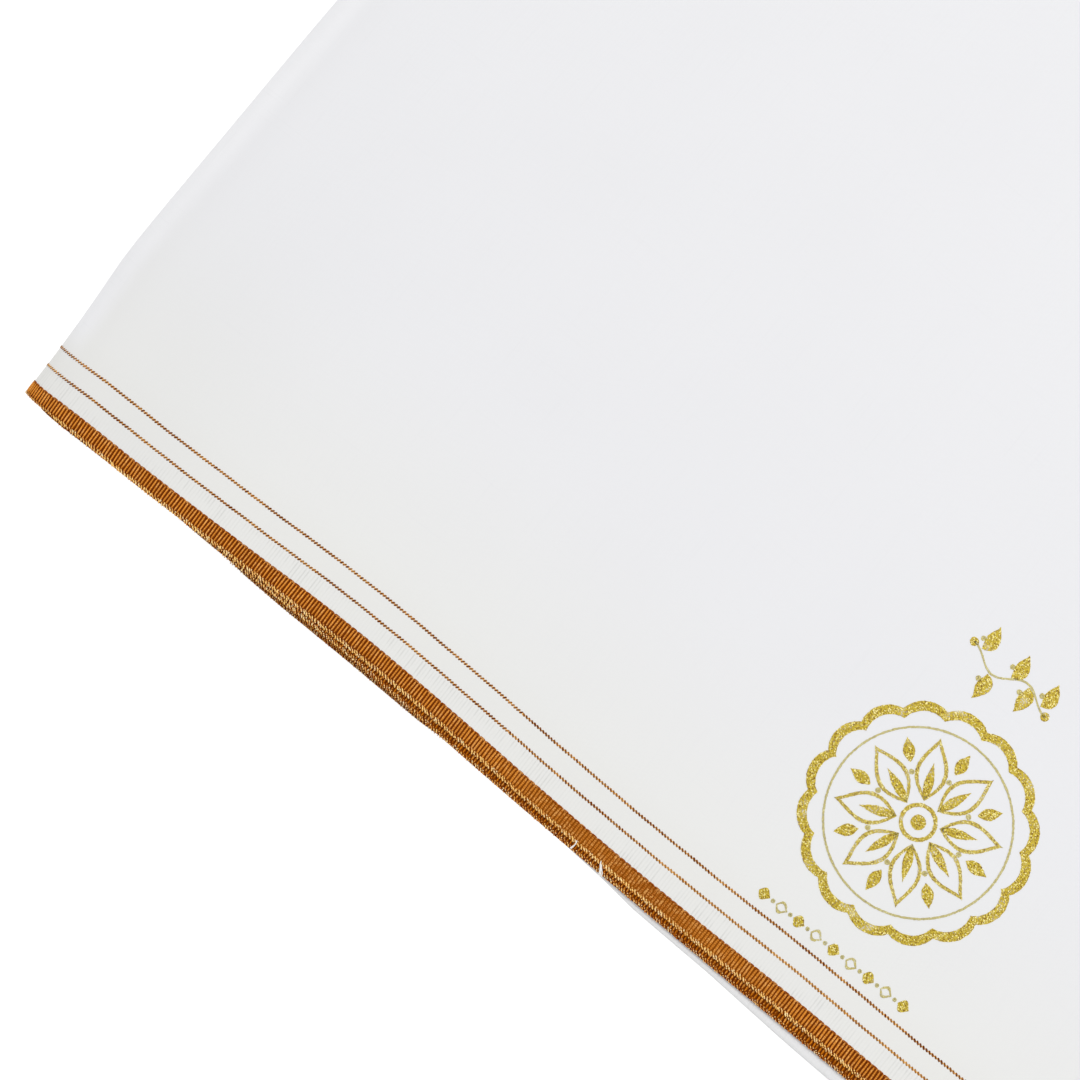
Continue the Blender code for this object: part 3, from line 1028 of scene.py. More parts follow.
def half_turn(
    centre: Spot, radius: float, nose: float, begin: int, angles: Iterable[float], growth: float = 0.0
) -> list[Spot]:
    """Spots round a fold along the border.

    Args:
        centre: the fold's middle, and the map's place where the turn begins.
        radius: of this face of the cloth.
        nose: how far the fold bulges for its radius, to the back, or to the front where it is negative.
        begin: 1 where the turn begins at its top, and -1 at its bottom.
        angles: the angles from there.
        growth: how far the map's place moves for an angle.

    Returns:
        The spots in order.
    """
    return [
        Spot(
            centre.deep + nose * radius * sin(angle),
            centre.out + begin * radius * cos(angle),
            centre.across + growth * angle,
        )
        for angle in angles
    ]


@dataclass
class ClothSheet:
    """A thin closed sheet of cloth along some stations, given by the cross-section of each of its faces."""

    pack: FoldedPack
    stations: Sequence[Station]
    section: Callable[[Station, float], list[Spot]]

    def arrays(self) -> tuple[np.ndarray, np.ndarray, np.ndarray]:
        """Lay the sheet.

        Returns:
            The points, quads and map of the closed sheet, with its faces pointing out.
        """
        sides = []
        for half in (0.5 * self.pack.cloth, -0.5 * self.pack.cloth):
            lines = [(station, self.section(station, half)) for station in self.stations]
            sides.append([[self.pack.point(at, spot.deep, spot.out) for spot in line] for at, line in lines])
            if half > 0.0:
                uv = np.array([(at.run, spot.across) for at, line in lines for spot in line])
        outer, inner = np.array(sides[0]), np.array(sides[1])
        rows, columns = outer.shape[:2]
        count = rows * columns
        points = np.concatenate([outer.reshape(-1, 3), inner.reshape(-1, 3)])
        index = np.arange(count).reshape(rows, columns)
        a, b = index[:-1, :-1].ravel(), index[1:, :-1].ravel()
        c, d = index[1:, 1:].ravel(), index[:-1, 1:].ravel()
        quads = [np.stack([a, b, c, d], 1), np.stack([d, c, b, a], 1) + count]
        for line, turned in ((index[:, 0], 0), (index[:, -1], 1), (index[0], 1), (index[-1], 0)):
            first, second = line[:-1], line[1:]
            rim = np.stack([first, first + count, second + count, second], 1)
            quads.append(rim[:, ::-1] if turned else rim)
        faces = np.concatenate(quads)
        p = points[faces]
        volume = np.einsum("ij,ij->i", p[:, 0], np.cross(p[:, 1], p[:, 2]) + np.cross(p[:, 2], p[:, 3])).sum()
        return points, faces[:, ::-1] if volume < 0.0 else faces, np.tile(uv, (2, 1))


def build_sheets(name: str, sheets: Iterable[ClothSheet], material: Material) -> Object:
    """Make one object of closed sheets.

    Args:
        name: the object's name.
        sheets: the sheets.
        material: their finish.

    Returns:
        The new object.
    """
    points, faces, maps, total = [], [], [], 0
    for sheet in sheets:
        p, f, uv = sheet.arrays()
        points.append(p)
        faces.append(f + total)
        maps.append(uv)
        total += len(p)
    return mesh_object(name, np.concatenate(points), np.concatenate(faces), material, np.concatenate(maps))


@dataclass
class LaneStrip:
    """A strip of one lane between two distances from its selvedge, or to the back fold for no stop."""

    pack: FoldedPack
    lane: Lane
    start: float
    stop: Union[float, None]
    steps: int

    def section(self, station: Station, half: float) -> list[Spot]:
        """Spots of one face.

        Args:
            station: where along the cloth.
            half: how far the face lies from the cloth's middle.

        Returns:
            The spots from the front.
        """
        front = self.pack.front(self.lane, station)
        drawn = self.pack.drawn(station.run) if self.lane is Lane.FIRST else 0.0
        low = front + max(self.start - drawn, 0.0)
        high = self.pack.back(station) if self.stop is None else front + self.stop - drawn
        return flat_run(low, high, self.lane.value * self.pack.pitch + half, self.steps, front)


@dataclass
class OuterStretches:
    """The uppermost stretch, the left fold and the under stretch: the white cloth that shows most."""

    pack: FoldedPack
    flat_steps: int = 56
    turn_steps: int = 20
    deep_steps: int = 64
    lip_steps: int = 7
    lip_length: float = 2.0 * MM
    tuck: float = 2.0 * MM

    def section(self, station: Station, half: float) -> list[Spot]:
        """Spots of one face, from the border over the back fold and a little way under it.

        Args:
            station: where along the cloth.
            half: how far the face lies from the cloth's middle.

        Returns:
            The spots from the front.
        """
        pack = self.pack
        middle = Lane.FIRST.value * pack.pitch
        back = pack.back(station)
        width = back - pack.front(Lane.FIRST, station)
        angles = [pi * i / self.lip_steps for i in range(1, self.lip_steps + 1)]
        strip = LaneStrip(pack, Lane.FIRST, pack.ground_width, None, self.deep_steps)
        lip = half_turn(Spot(back, 0.0, width), middle + half, pack.back_nose_ratio, 1, angles, middle)
        tucked = Spot(back - self.tuck, -middle - half, width + self.lip_length + self.tuck)
        return [*strip.section(station, half), *lip, tucked]

    def build(self, finish: Material) -> Object:
        """Lay the white panel."""
        stations = self.pack.stations(self.flat_steps, self.turn_steps, 0, OUTER_RUNS)
        return build_sheets("outer_cloth", [ClothSheet(self.pack, stations, self.section)], finish)


@dataclass
class InnerLayers:
    """All the other layers in their real folds, and the borders on their selvedges."""

    pack: FoldedPack
    flat_steps: int = 26
    turn_steps: int = 12
    deep_steps: int = 10
    turn_in: int = 6
    back_inset: float = 0.2 * MM

    def rest(self) -> list[Station]:
        """Stations past the outer stretches."""
        return self.pack.stations(self.flat_steps, self.turn_steps, OUTER_RUNS, STRETCHES)

    def build(self, finish: Material) -> Object:
        """Lay the folded layers along the whole cloth, and the first layer past the outer stretches.

        Args:
            finish: the layers' material.

        Returns:
            The new object.
        """
        pack = self.pack
        whole, rest = pack.stations(self.flat_steps, self.turn_steps), self.rest()
        first = LaneStrip(pack, Lane.FIRST, pack.ground_width, None, self.deep_steps)
        sections = ((whole, self.folded_section), (rest, first.section), (rest, self.back_turn))
        return build_sheets("inner_layers", [ClothSheet(pack, *pair) for pair in sections], finish)

    def build_borders(self, finish: Material) -> Object:
        """Lay the borders of both selvedges past the outer stretches, of which only the edges show.

        Args:
            finish: the borders' material.

        Returns:
            The new object.
        """
        pack, rest = self.pack, self.rest()
        strips = [LaneStrip(pack, lane, 0.0, pack.ground_width, 4) for lane in (Lane.FIRST, Lane.SECOND)]
        sheets = [ClothSheet(pack, rest, strip.section) for strip in strips]
        return build_sheets("inner_borders", sheets, finish)

    def back_turn(self, station: Station, half: float) -> list[Spot]:
        """Spots of one face of the outer back fold.

        Args:
            station: where along the cloth.
            half: how far the face lies from the cloth's middle.

        Returns:
            The spots from the top.
        """
        pack = self.pack
        middle = Lane.FIRST.value * pack.pitch
        angles = [pi * i / self.turn_in for i in range(self.turn_in + 1)]
        centre = Spot(pack.back(station), 0.0, pack.depth)
        return half_turn(centre, middle + half, pack.back_nose_ratio, 1, angles, middle)

    def folded_section(self, station: Station, half: float) -> list[Spot]:
        """Spots of one face of the fourth, third and second layers, with the folds between them.

        Args:
            station: where along the cloth.
            half: how far the face lies from the cloth's middle.

        Returns:
            The spots from the outer back fold to the second selvedge, mapped by the distance along them.
        """
        pack, steps = self.pack, self.deep_steps
        pitch, nose = pack.pitch, pack.back_nose_ratio
        back = pack.back(station)
        inner_back = back - self.back_inset
        fold = pack.front(Lane.FOURTH, station) + 0.5 * pitch * nose
        edge = pack.front(Lane.SECOND, station) + pack.ground_width
        angles = [pi * i / self.turn_in for i in range(1, self.turn_in)]
        line = flat_run(back, fold, -1.5 * pitch - half, steps)
        line += half_turn(Spot(fold, -pitch, 0.0), 0.5 * pitch + half, -nose, -1, angles)
        line += flat_run(fold, inner_back, -0.5 * pitch + half, steps)
        line += half_turn(Spot(inner_back, 0.0, 0.0), 0.5 * pitch - half, nose, -1, angles)
        line += flat_run(inner_back, edge, 0.5 * pitch - half, steps)
        total, result = 0.0, [line[0]._replace(across=0.0)]
        for spot, after in zip(line, line[1:]):
            total += hypot(after.deep - spot.deep, after.out - spot.out)
            result.append(after._replace(across=total))
        return result


class ThreadPoint(NamedTuple):
    """Where one short thread lies: its middle, its direction, the cloth's normal, its tone and its size."""

    point: Vector
    lie: Vector
    up: Vector
    tone: float
    size: tuple[float, float, float]


@dataclass(frozen=True)
class ThreadRun:
    """A run of like short threads, laid by Geometry Nodes on a helper's points."""

    name: str
    length: float
    width: float
    height: float
    wobble: float
    seed: int
    cuts: int = 2

    def tree(self) -> bpy.types.NodeTree:
        """Build the node tree.

        Returns:
            A tree that lays a rounded thread on each point and gives it the finish.
        """
        tree = bpy.data.node_groups.new(f"{self.name}_threads", "GeometryNodeTree")
        sides = ("Thread length", "Thread width", "Thread height")
        kinds = {"Points": "Geometry", **dict.fromkeys((*sides, "Wobble"), "Float"), "Seed": "Int"}
        for label, kind in {**kinds, "Finish": "Material"}.items():
            tree.interface.new_socket(name=label, in_out="INPUT", socket_type=f"NodeSocket{kind}")
        tree.interface.new_socket(name="Threads", in_out="OUTPUT", socket_type="NodeSocketGeometry")
        add = NodeDesk(tree).node
        entry = add("NodeGroupInput")
        size = add("ShaderNodeCombineXYZ", {}, {i: entry[label] for i, label in enumerate(sides)})["Vector"]
        cuts = {"Size": size, "Vertices X": self.cuts, "Vertices Y": 2, "Vertices Z": 2}
        bar = add("GeometryNodeMeshCube", {}, cuts)["Mesh"]
        rounded = add("GeometryNodeSubdivisionSurface", {}, {"Mesh": bar, "Level": 1})["Mesh"]
        lie, up, own_size = (
            add("GeometryNodeInputNamedAttribute", {"data_type": "FLOAT_VECTOR"}, {"Name": name})["Attribute"]
            for name in ("lie", "up", "size")
        )
        axes = {"primary_axis": "X", "secondary_axis": "Z"}
        ways = {"Primary Axis": lie, "Secondary Axis": up}
        turn = add("FunctionNodeAxesToRotation", axes, ways)["Rotation"]
        wobble = entry["Wobble"]
        chances = {"Min": 1.0 - wobble, "Max": 1.0 + wobble, "Seed": entry["Seed"]}
        chance = add("FunctionNodeRandomValue", {"data_type": "FLOAT_VECTOR"}, chances)["Value"]
        scale = add("ShaderNodeVectorMath", {"operation": "MULTIPLY"}, {0: chance, 1: own_size})["Vector"]
        spots = add("GeometryNodeMeshToPoints", {}, {"Mesh": entry["Points"]})["Points"]
        laid = {"Points": spots, "Instance": rounded, "Rotation": turn, "Scale": scale}
        threads = add("GeometryNodeInstanceOnPoints", {}, laid)["Instances"]
        smooth = add("GeometryNodeSetShadeSmooth", {}, {"Geometry": threads})["Geometry"]
        realized = add("GeometryNodeRealizeInstances", {}, {"Geometry": smooth})["Geometry"]
        finished = add("GeometryNodeSetMaterial", {}, {"Geometry": realized, "Material": entry["Finish"]})
        add("NodeGroupOutput", {}, {"Threads": finished["Geometry"]})
        return tree

    def lay(self, points: Sequence[ThreadPoint], finish: Material) -> Object:
        """Lay a thread on each point.

        Args:
            points: where the threads lie.
            finish: their material.

        Returns:
            The threads as one plain mesh object.
        """
        data = bpy.data.meshes.new(f"{self.name}_points")
        data.from_pydata([tuple(p.point) for p in points], [], [])
        for label in ("lie", "up", "size"):
            values = [part for p in points for part in getattr(p, label)]
            data.attributes.new(label, "FLOAT_VECTOR", "POINT").data.foreach_set("vector", values)
        data.attributes.new("tone", "FLOAT", "POINT").data.foreach_set("value", [p.tone for p in points])
        helper = bpy.data.objects.new(f"{self.name}_points", data)
        bpy.context.scene.collection.objects.link(helper)
        modifier = helper.modifiers.new("threads", "NODES")
        modifier.node_group = self.tree()
        sizes = {"Thread length": self.length, "Thread width": self.width, "Thread height": self.height}
        chosen = {**sizes, "Wobble": self.wobble, "Seed": self.seed, "Finish": finish}
        for socket in modifier.node_group.interface.items_tree:
            if socket.name in chosen:
                modifier[socket.identifier] = chosen[socket.name]
        mesh = bpy.data.meshes.new_from_object(helper.evaluated_get(bpy.context.evaluated_depsgraph_get()))
        helper.modifiers.remove(modifier)
        bpy.data.objects.remove(helper)
        mesh.name = self.name
        made = bpy.data.objects.new(self.name, mesh)
        bpy.context.scene.collection.objects.link(made)
        return made


@dataclass
class WovenBorder:
    """One woven border: its ground strip, its ribs and the stitches of its selvedge."""

    pack: FoldedPack
    name: str
    lane: Lane
    rib_height: float
    shadow: float = 0.0
    tone_spread: float = 0.22
    glow: float = 1.0
    narrow_along: float = 18.0 * MM
    rubbed_share: float = 1.0
    curl: float = 0.20 * MM
    runs: Union[Reach, None] = None
    fade: float = 0.0
    bright_runs: Reach = (90.0 * MM, 192.0 * MM)
    fade_length: float = 15.0 * MM
    flare: float = 0.0
    flare_run: Reach = (176.0 * MM, 14.0 * MM)
    curl_run: Reach = (164.0 * MM, 13.0 * MM)
    rib_start: float = 0.45
    rib_width: float = 0.38 * MM
    rib_girth: float = 0.94
    rib_tone: float = 0.66
    rib_drift: float = 0.14
    rubbed_dark: float = 0.42
    rubbed_wide: float = 0.55
    rubbed_flat: float = 0.45
    rib_lean: float = radians(2.6)
    lean_reach: float = 22.0 * MM
    tone_wave: float = 61.0 * MM
    girth_wave: float = 97.0 * MM
    overhang: float = 0.31 * MM
    scallop: float = 0.13 * MM
    tip_length: float = 1.42 * MM
    tip_girth: float = 1.20
    tip_height: float = 0.7
    tip_tone: float = 0.04
    tip_inset: float = 0.01 * MM
    sink: float = 0.02 * MM
    under_height: float = 0.10 * MM
    selvedge: float = 0.70 * MM
    narrow_selvedge: float = 0.38 * MM
    stitch_length: float = 0.78 * MM
    stitch_width: float = 0.34 * MM
    stitch_height: float = 0.16 * MM
    stitch_slant: float = radians(42.0)
    stitch_spread: float = 0.90
    row_shares: tuple = (0.05, 0.36, 0.74)
    row_glows: tuple = (0.60, 0.72)
    flat_steps: int = 56
    turn_steps: int = 20

    def strip(self, finish: Material) -> Object:
        """Lay the ground strip that the ribs stand on.

        Args:
            finish: its material.

        Returns:
            The new object.
        """
        pack = self.pack
        stations = pack.stations(self.flat_steps, self.turn_steps, 0, OUTER_RUNS)
        strip = LaneStrip(pack, self.lane, 0.0, pack.ground_width, 6)
        return build_sheets(self.name, [ClothSheet(pack, stations, strip.section)], finish)

    def ribs_in_reach(self) -> range:
        """Numbers of the ribs along the runs that this border is dressed on."""
        low, high = self.runs or (0.0, self.pack.outer_run() - RIB_PITCH)
        return range(int(low / RIB_PITCH), int(high / RIB_PITCH))

    def glow_at(self, run: float) -> float:
        """Brightness of the selvedge's middle stitches at a place along the border."""
        past = (self.bright_runs[0] - run, run - self.bright_runs[1])
        return self.glow * (1.0 - self.fade * sum(ease(gap / self.fade_length) for gap in past))

    def flare_at(self, run: float) -> float:
        """How much lighter the border is where little more than its selvedge shows."""
        return self.flare * bell(run, *self.flare_run)

    def selvedge_at(self, run: float) -> float:
        """Width of the selvedge, which curls under beside the left fold."""
        share = ease((abs(self.pack.length - run) - 0.5 * self.narrow_along) / self.narrow_along)
        return self.narrow_selvedge + (self.selvedge - self.narrow_selvedge) * share

    def rib(self, index: int) -> list[ThreadPoint]:
        """One rib, with the thread that binds its tip where it is one of the longer ones.

        Args:
            index: the rib's number along the border.

        Returns:
            Where its threads lie.
        """
        pack = self.pack
        full = pack.ground_width + self.overhang
        run = (index + 0.5 + 0.10 * jitter(index, 7)) * RIB_PITCH
        under = pack.at_run(run).nearest == STRETCHES
        low = (self.under_height if under else self.rib_height) / self.rib_height
        start = self.rib_start * self.selvedge_at(run)
        rubbed = self.rubbed_share * bell(run, *RUBBED_RUN)
        over = self.overhang + self.scallop * (0.5 * (index % 2) - 0.25 + 0.3 * hash_share(index, 5))
        length = pack.ground_width + over - start - pack.drawn(run)
        spot = pack.place(self.lane, run, start + 0.5 * length, -self.sink)
        tone = self.rib_tone + self.rib_drift * drift(run, 1.3, self.tone_wave) - self.rubbed_dark * rubbed
        tone += self.tone_spread * (1.0 - 0.75 * rubbed) * jitter(index, 3)
        tone += self.flare_at(run) - self.shadow
        girth = self.rib_girth + self.rib_drift * drift(run, 4.1, self.girth_wave) + self.rubbed_wide * rubbed
        beside = exp(-abs(pack.length - run) / self.lean_reach)
        lie = spot.across + spot.along * self.rib_lean * (2.0 * jitter(index, 1) + 3.0 * beside)
        size = (length / full, girth, (1.0 - self.rubbed_flat * rubbed) * low)
        threads = [ThreadPoint(spot.point, lie, spot.up, tone, size)]
        if index % 2:
            tip = pack.place(self.lane, run, pack.ground_width - self.tip_inset - pack.drawn(run), 0.0)
            small = (self.tip_length / full, self.tip_girth, self.tip_height * low)
            threads.append(ThreadPoint(tip.point, tip.along, tip.up, self.tip_tone - self.shadow, small))
        return threads

    def ribs(self, finish: Material) -> Object:
        """Lay the ribs, one for every two picks of the weft.

        Args:
            finish: the thread's material.

        Returns:
            The new object.
        """
        points = [point for index in self.ribs_in_reach() for point in self.rib(index)]
        full = self.pack.ground_width + self.overhang
        laid = ThreadRun(
            f"{self.name}_ribs", full, self.rib_width, 2.0 * self.rib_height, wobble=0.05, seed=11, cuts=3
        )
        return laid.lay(points, finish)

    def stitch(self, index: int, row: int, bright: float) -> ThreadPoint:
        """One light slanted stitch of the selvedge.

        Args:
            index: number of the rib that it lies beside.
            row: 0 for the outer row, 1 for the middle one and 2 for the inner one.
            bright: the row's brightness.

        Returns:
            Where the stitch lies.
        """
        number = 3 * index + row
        run = (index + 0.2 + 0.4 * row + 0.45 * jitter(number, 8)) * RIB_PITCH
        wide = self.selvedge_at(run)
        curled = wide / self.selvedge
        share = self.row_shares[row] + 0.18 * jitter(number, 12)
        across = share * wide - self.curl * bell(run, *self.curl_run)
        spot = self.pack.place(self.lane, run, across, self.sink)
        lie = spot.toward(self.stitch_slant * (0.5 + hash_share(number, 9)))
        tone = (bright + self.stitch_spread * jitter(number, 4)) * (0.3 + 0.7 * curled) - self.shadow
        long = (0.60 + 0.6 * hash_share(number, 6)) * (0.35 + 0.65 * curled) * (0.5 + 0.5 * bright)
        return ThreadPoint(spot.point, lie, spot.up, tone, (long, 0.65 + 0.35 * bright, 1.0))

    def stitches(self, finish: Material) -> Object:
        """Lay the stitches along the selvedge, one bright and two duller to a rib.

        Args:
            finish: the thread's material.

        Returns:
            The new object.
        """
        points = []
        outer, inner = (share * self.glow for share in self.row_glows)
        for index in self.ribs_in_reach():
            run = index * RIB_PITCH
            for row, bright in enumerate((outer, self.glow_at(run), inner)):
                points.append(self.stitch(index, row, bright + self.flare_at(run)))
        rise = min(self.stitch_height, self.rib_height)
        laid = ThreadRun(
            f"{self.name}_selvedge", self.stitch_length, self.stitch_width, rise, wobble=0.12, seed=5
        )
        return laid.lay(points, finish)


@dataclass
class ThreadStripe:
    """A fine zigzag stripe of coloured floats, woven in beside the border."""

    pack: FoldedPack
    name: str
    across: float
    salt: int
    worn: float = 0.0
    stroke: float = 1.14 * MM
    stroke_width: float = 0.54 * MM
    stroke_height: float = 0.24 * MM
    sink: float = 0.02 * MM
    slant: float = radians(44.0)
    turn_run: float = 128.0 * MM
    wander: float = 0.08 * MM
    wander_wave: float = 23.0 * MM
    fade_wave: float = 31.0 * MM
    worn_run: float = 80.0 * MM
    worn_length: float = 20.0 * MM
    dark_spread: float = 0.34
    pale_tone: float = 0.50
    pale_drift: float = 0.40
    pale_size: tuple = (0.90, 0.75, 0.7)

    def build(self, finish: Material) -> Object:
        """Lay a dark stroke and a paler one back for each step of the zigzag.

        Args:
            finish: the thread's material.

        Returns:
            The new object.
        """
        points = []
        for index in range(int(2.0 * self.pack.outer_run() / RIB_PITCH) - 2):
            run = (index + 1.0) * 0.5 * RIB_PITCH
            leading = index % 2 == 0
            side = 1.0 if leading == (run < self.turn_run) else -1.0
            wander = self.wander * (drift(run, 2.0 + self.salt, self.wander_wave) - 0.5)
            across = self.across + wander - self.pack.drawn(run)
            spot = self.pack.place(Lane.FIRST, run, across, -self.sink)
            lie = spot.toward(side * self.slant * (0.9 + 0.2 * hash_share(index, self.salt)))
            faded = drift(run, 0.7 * self.salt, self.fade_wave)
            tone = self.dark_spread * faded * hash_share(index, self.salt + 4)
            tone += self.worn * ease(1.0 - (run - self.worn_run) / self.worn_length)
            if not leading:
                tone += self.pale_tone + self.pale_drift * faded
            size = (1.0, 1.0, 1.0) if leading else self.pale_size
            points.append(ThreadPoint(spot.point, lie, spot.up, tone, size))
        laid = ThreadRun(self.name, self.stroke, self.stroke_width, self.stroke_height, wobble=0.10, seed=3)
        return laid.lay(points, finish)


class Leaf(NamedTuple):
    """A kind of leaf, in mm: how far out it starts, its size, and the line width of an outline, or 0."""

    start: float
    length: float
    half_width: float
    line: float = 0.0


@dataclass
class StampedMark:
    """A gold mark stamped near the border: a lotus in a scalloped ring, a leafy sprig and a row of lozenges.

    Its places are complex numbers, whose real part runs along the border and whose other part runs back.
    """

    pack: FoldedPack
    middle: complex = complex(191.5 * MM, 43.5 * MM)
    ink: float = 0.05 * MM
    ring_radius: float = 20.6 * MM
    ring_line: float = 1.9 * MM
    lobes: int = 16
    lobe_height: float = 1.5 * MM
    ring_gap: float = 2.6 * MM
    fine_line: float = 0.42 * MM
    petals: int = 8
    petal: Leaf = Leaf(4.2, 12.3, 3.1, 0.75)
    vein: Leaf = Leaf(4.2, 7.4, 0.9)
    bud: Leaf = Leaf(11.4, 4.8, 1.15)
    bud_dot: float = 9.6 * MM
    small_dot: float = 0.55 * MM
    heart_radius: float = 3.3 * MM
    heart_line: float = 0.8 * MM
    heart_dot: float = 1.5 * MM
    sprig_deep: float = 76.0 * MM
    sprig_shift: float = 3.0 * MM
    sprig_half: float = 9.6 * MM
    sprig_wave: float = 1.5 * MM
    sprig_steps: int = 40
    sprig_leaf: Leaf = Leaf(0.0, 5.6, 1.5)
    leaf_gap: float = 0.4 * MM
    leaf_slant: float = radians(58.0)
    leaf_bend: float = 0.5
    berry_reach: float = 2.4 * MM
    berry_slant: float = radians(112.0)
    end_dot: float = 0.9 * MM
    stem_width: float = 0.44 * MM
    row_deep: float = 14.7 * MM
    row_shift: float = 2.2 * MM
    row_length: float = 33.0 * MM
    lozenges: int = 9
    lozenge: Leaf = Leaf(-1.25, 2.5, 1.25)
    open_lozenge: Leaf = Leaf(-1.25, 2.5, 1.25, 0.55)
    row_dot: float = 0.42 * MM
    grain: float = 0.35 * MM
    ragged: float = 0.055 * MM
    points: list = field(default_factory=list)
    tones: list = field(default_factory=list)
    faces: list = field(default_factory=list)

    def frayed(self, side: Sequence[complex], salt: int) -> list[complex]:
        """Move each point of a line a little, as ink creeps along the threads.

        Args:
            side: the line.
            salt: which of the fixed random runs to use.

        Returns:
            The moved line.
        """
        numbers = range(len(self.points), len(self.points) + len(side))
        return [
            spot + 2.0 * self.ragged * complex(jitter(number, salt), jitter(number, salt + 1))
            for number, spot in zip(numbers, side)
        ]

    def band(
        self, first: Sequence[complex], second: Sequence[complex], closed: bool, faint: float = 0.0
    ) -> None:
        """Ink the band between two lines of equally many points.

        Args:
            first: the side on the right hand, seen along the band.
            second: the other side.
            closed: whether the band runs round to its start.
            faint: how far the cloth shows through, from 0 to 1.
        """
        base, count = len(self.points), len(first)
        first, second = self.frayed(first, 21), self.frayed(second, 31)
        self.tones += [faint] * (4 * count)
        for lift in (self.ink, 0.0):
            for side in (first, second):
                self.points += [self.pack.top_point(spot.real, spot.imag, lift) for spot in side]
        top_a, top_b, low_a, low_b = (base + i * count for i in range(4))
        pairs = ((top_a, top_b), (low_b, low_a), (low_a, top_a), (top_b, low_b))
        for i in range(count if closed else count - 1):
            j = (i + 1) % count
            self.faces += [(one + i, one + j, two + j, two + i) for one, two in pairs]
        if not closed:
            for i, turned in ((0, 0), (count - 1, 1)):
                end = (top_a + i, top_b + i, low_b + i, low_a + i)
                self.faces.append(end[::-1] if turned else end)

    def faintness(self, width: float) -> float:
        """How far the cloth shows through a line of that width."""
        return 0.60 * (1.0 - ease((width - 0.4 * MM) / (0.5 * MM)))

    def ring(self, middle: complex, radius: float, width: float, lobes: int = 0, swell: float = 0.0) -> None:
        """Ink a ring.

        Args:
            middle: its middle.
            radius: of the middle of its line.
            width: of its line.
            lobes: how many scallops it has, or 0 for a plain ring.
            swell: height of a scallop.
        """
        steps = max(14, round(tau * radius / self.grain))
        sides = []
        for reach in (radius + 0.5 * width, radius - 0.5 * width):
            angles = [tau * i / steps for i in range(steps)]
            out = [swell * abs(sin(0.5 * lobes * angle)) ** 0.7 if lobes else 0.0 for angle in angles]
            sides.append([middle + rect(reach + more, angle) for more, angle in zip(out, angles)])
        self.band(*sides, True, self.faintness(width))

    def leaf(self, middle: complex, angle: float, kind: Leaf, bend: float = 0.0) -> None:
        """Ink a pointed leaf, whole or in outline.

        Args:
            middle: the place that its start is counted from.
            angle: its direction.
            kind: its start and size.
            bend: how far its tip leans, in radians.
        """
        root, length, hollow = middle + rect(kind.start * MM, angle), kind.length * MM, kind.line * MM
        steps = max(8, round(length / self.grain))
        shares = [i / steps for i in range(steps + 1)]
        turns = [angle + bend * share for share in shares]
        spine = [root + rect(length * share, turn) for share, turn in zip(shares, turns)]
        widths = [kind.half_width * MM * sin(pi * share**0.85) ** 1.15 + 0.02 * MM for share in shares]

        def line(side: float, inset: float) -> list[complex]:
            """One line of the leaf.

            Args:
                side: 1 for its left side and -1 for its right one.
                inset: how far it lies inside the leaf's edge.

            Returns:
                The line from root to tip.
            """
            return [
                spot + rect(side * max(wide - inset, 0.0), turn + 0.5 * pi)
                for spot, wide, turn in zip(spine, widths, turns)
            ]

        if hollow:
            faint = self.faintness(hollow)
            self.band(line(1.0, hollow), line(1.0, 0.0), False, faint)
            self.band(line(-1.0, 0.0), line(-1.0, hollow), False, faint)
        else:
            self.band(line(-1.0, 0.0), line(1.0, 0.0), False)

    def dot(self, middle: complex, radius: float) -> None:
        """Ink a round dot."""
        self.ring(middle, 0.5 * radius, radius * 0.98)

    def lotus(self) -> None:
        """Ink the lotus and its rings."""
        middle = self.middle
        self.ring(middle, self.ring_radius, self.ring_line, self.lobes, self.lobe_height)
        self.ring(middle, self.ring_radius - self.ring_gap, self.fine_line)
        for i in range(self.petals):
            angle, between = tau * (i + 0.5) / self.petals, tau * i / self.petals
            self.leaf(middle, angle, self.petal)
            self.leaf(middle, angle, self.vein)
            self.leaf(middle, between, self.bud)
            self.dot(middle + rect(self.bud_dot, between), self.small_dot)
        self.ring(middle, self.heart_radius, self.heart_line)
        self.dot(middle, self.heart_dot)

    def sprig(self) -> None:
        """Ink the leafy creeper beyond the ring."""
        steps, half, wave = self.sprig_steps, self.sprig_half, self.sprig_wave
        start = complex(self.middle.real - self.sprig_shift, self.sprig_deep)
        shares = [2.0 * i / steps - 1.0 for i in range(steps + 1)]
        stem = [start + complex(half * share, wave * sin(1.5 * pi * share)) for share in shares]
        sides = [[spot + complex(0.0, side * 0.5 * self.stem_width) for spot in stem] for side in (-1.0, 1.0)]
        self.band(*sides, False, self.faintness(self.stem_width))
        for index, spot in enumerate(stem[4:steps:8]):
            side = -1.0 if index % 2 else 1.0
            root = spot + complex(0.0, side * self.leaf_gap)
            self.leaf(root, side * self.leaf_slant, self.sprig_leaf, self.leaf_bend * side)
            self.dot(spot + rect(self.berry_reach, side * self.berry_slant), self.small_dot)
        for spot in (stem[0], stem[-1]):
            self.dot(spot, self.end_dot)

    def lozenge_row(self) -> None:
        """Ink the short row of lozenges and dots beside the far stripe."""
        step = self.row_length / (self.lozenges - 1)
        for i in range(self.lozenges):
            along = self.middle.real + self.row_shift + (i - 0.5 * (self.lozenges - 1)) * step
            self.leaf(complex(along, self.row_deep), 0.0, self.open_lozenge if i % 2 else self.lozenge)
            if i + 1 < self.lozenges:
                self.dot(complex(along + 0.5 * step, self.row_deep), self.row_dot)

    def build(self, finish: Material) -> Object:
        """Ink the whole mark as one thin piece on the cloth.

        Args:
            finish: the ink.

        Returns:
            The new object.
        """
        self.lotus()
        self.sprig()
        self.lozenge_row()
        made = mesh_object("gold_mark", self.points, self.faces, finish)
        made.data.attributes.new("tone", "FLOAT", "POINT").data.foreach_set("value", self.tones)
        return made


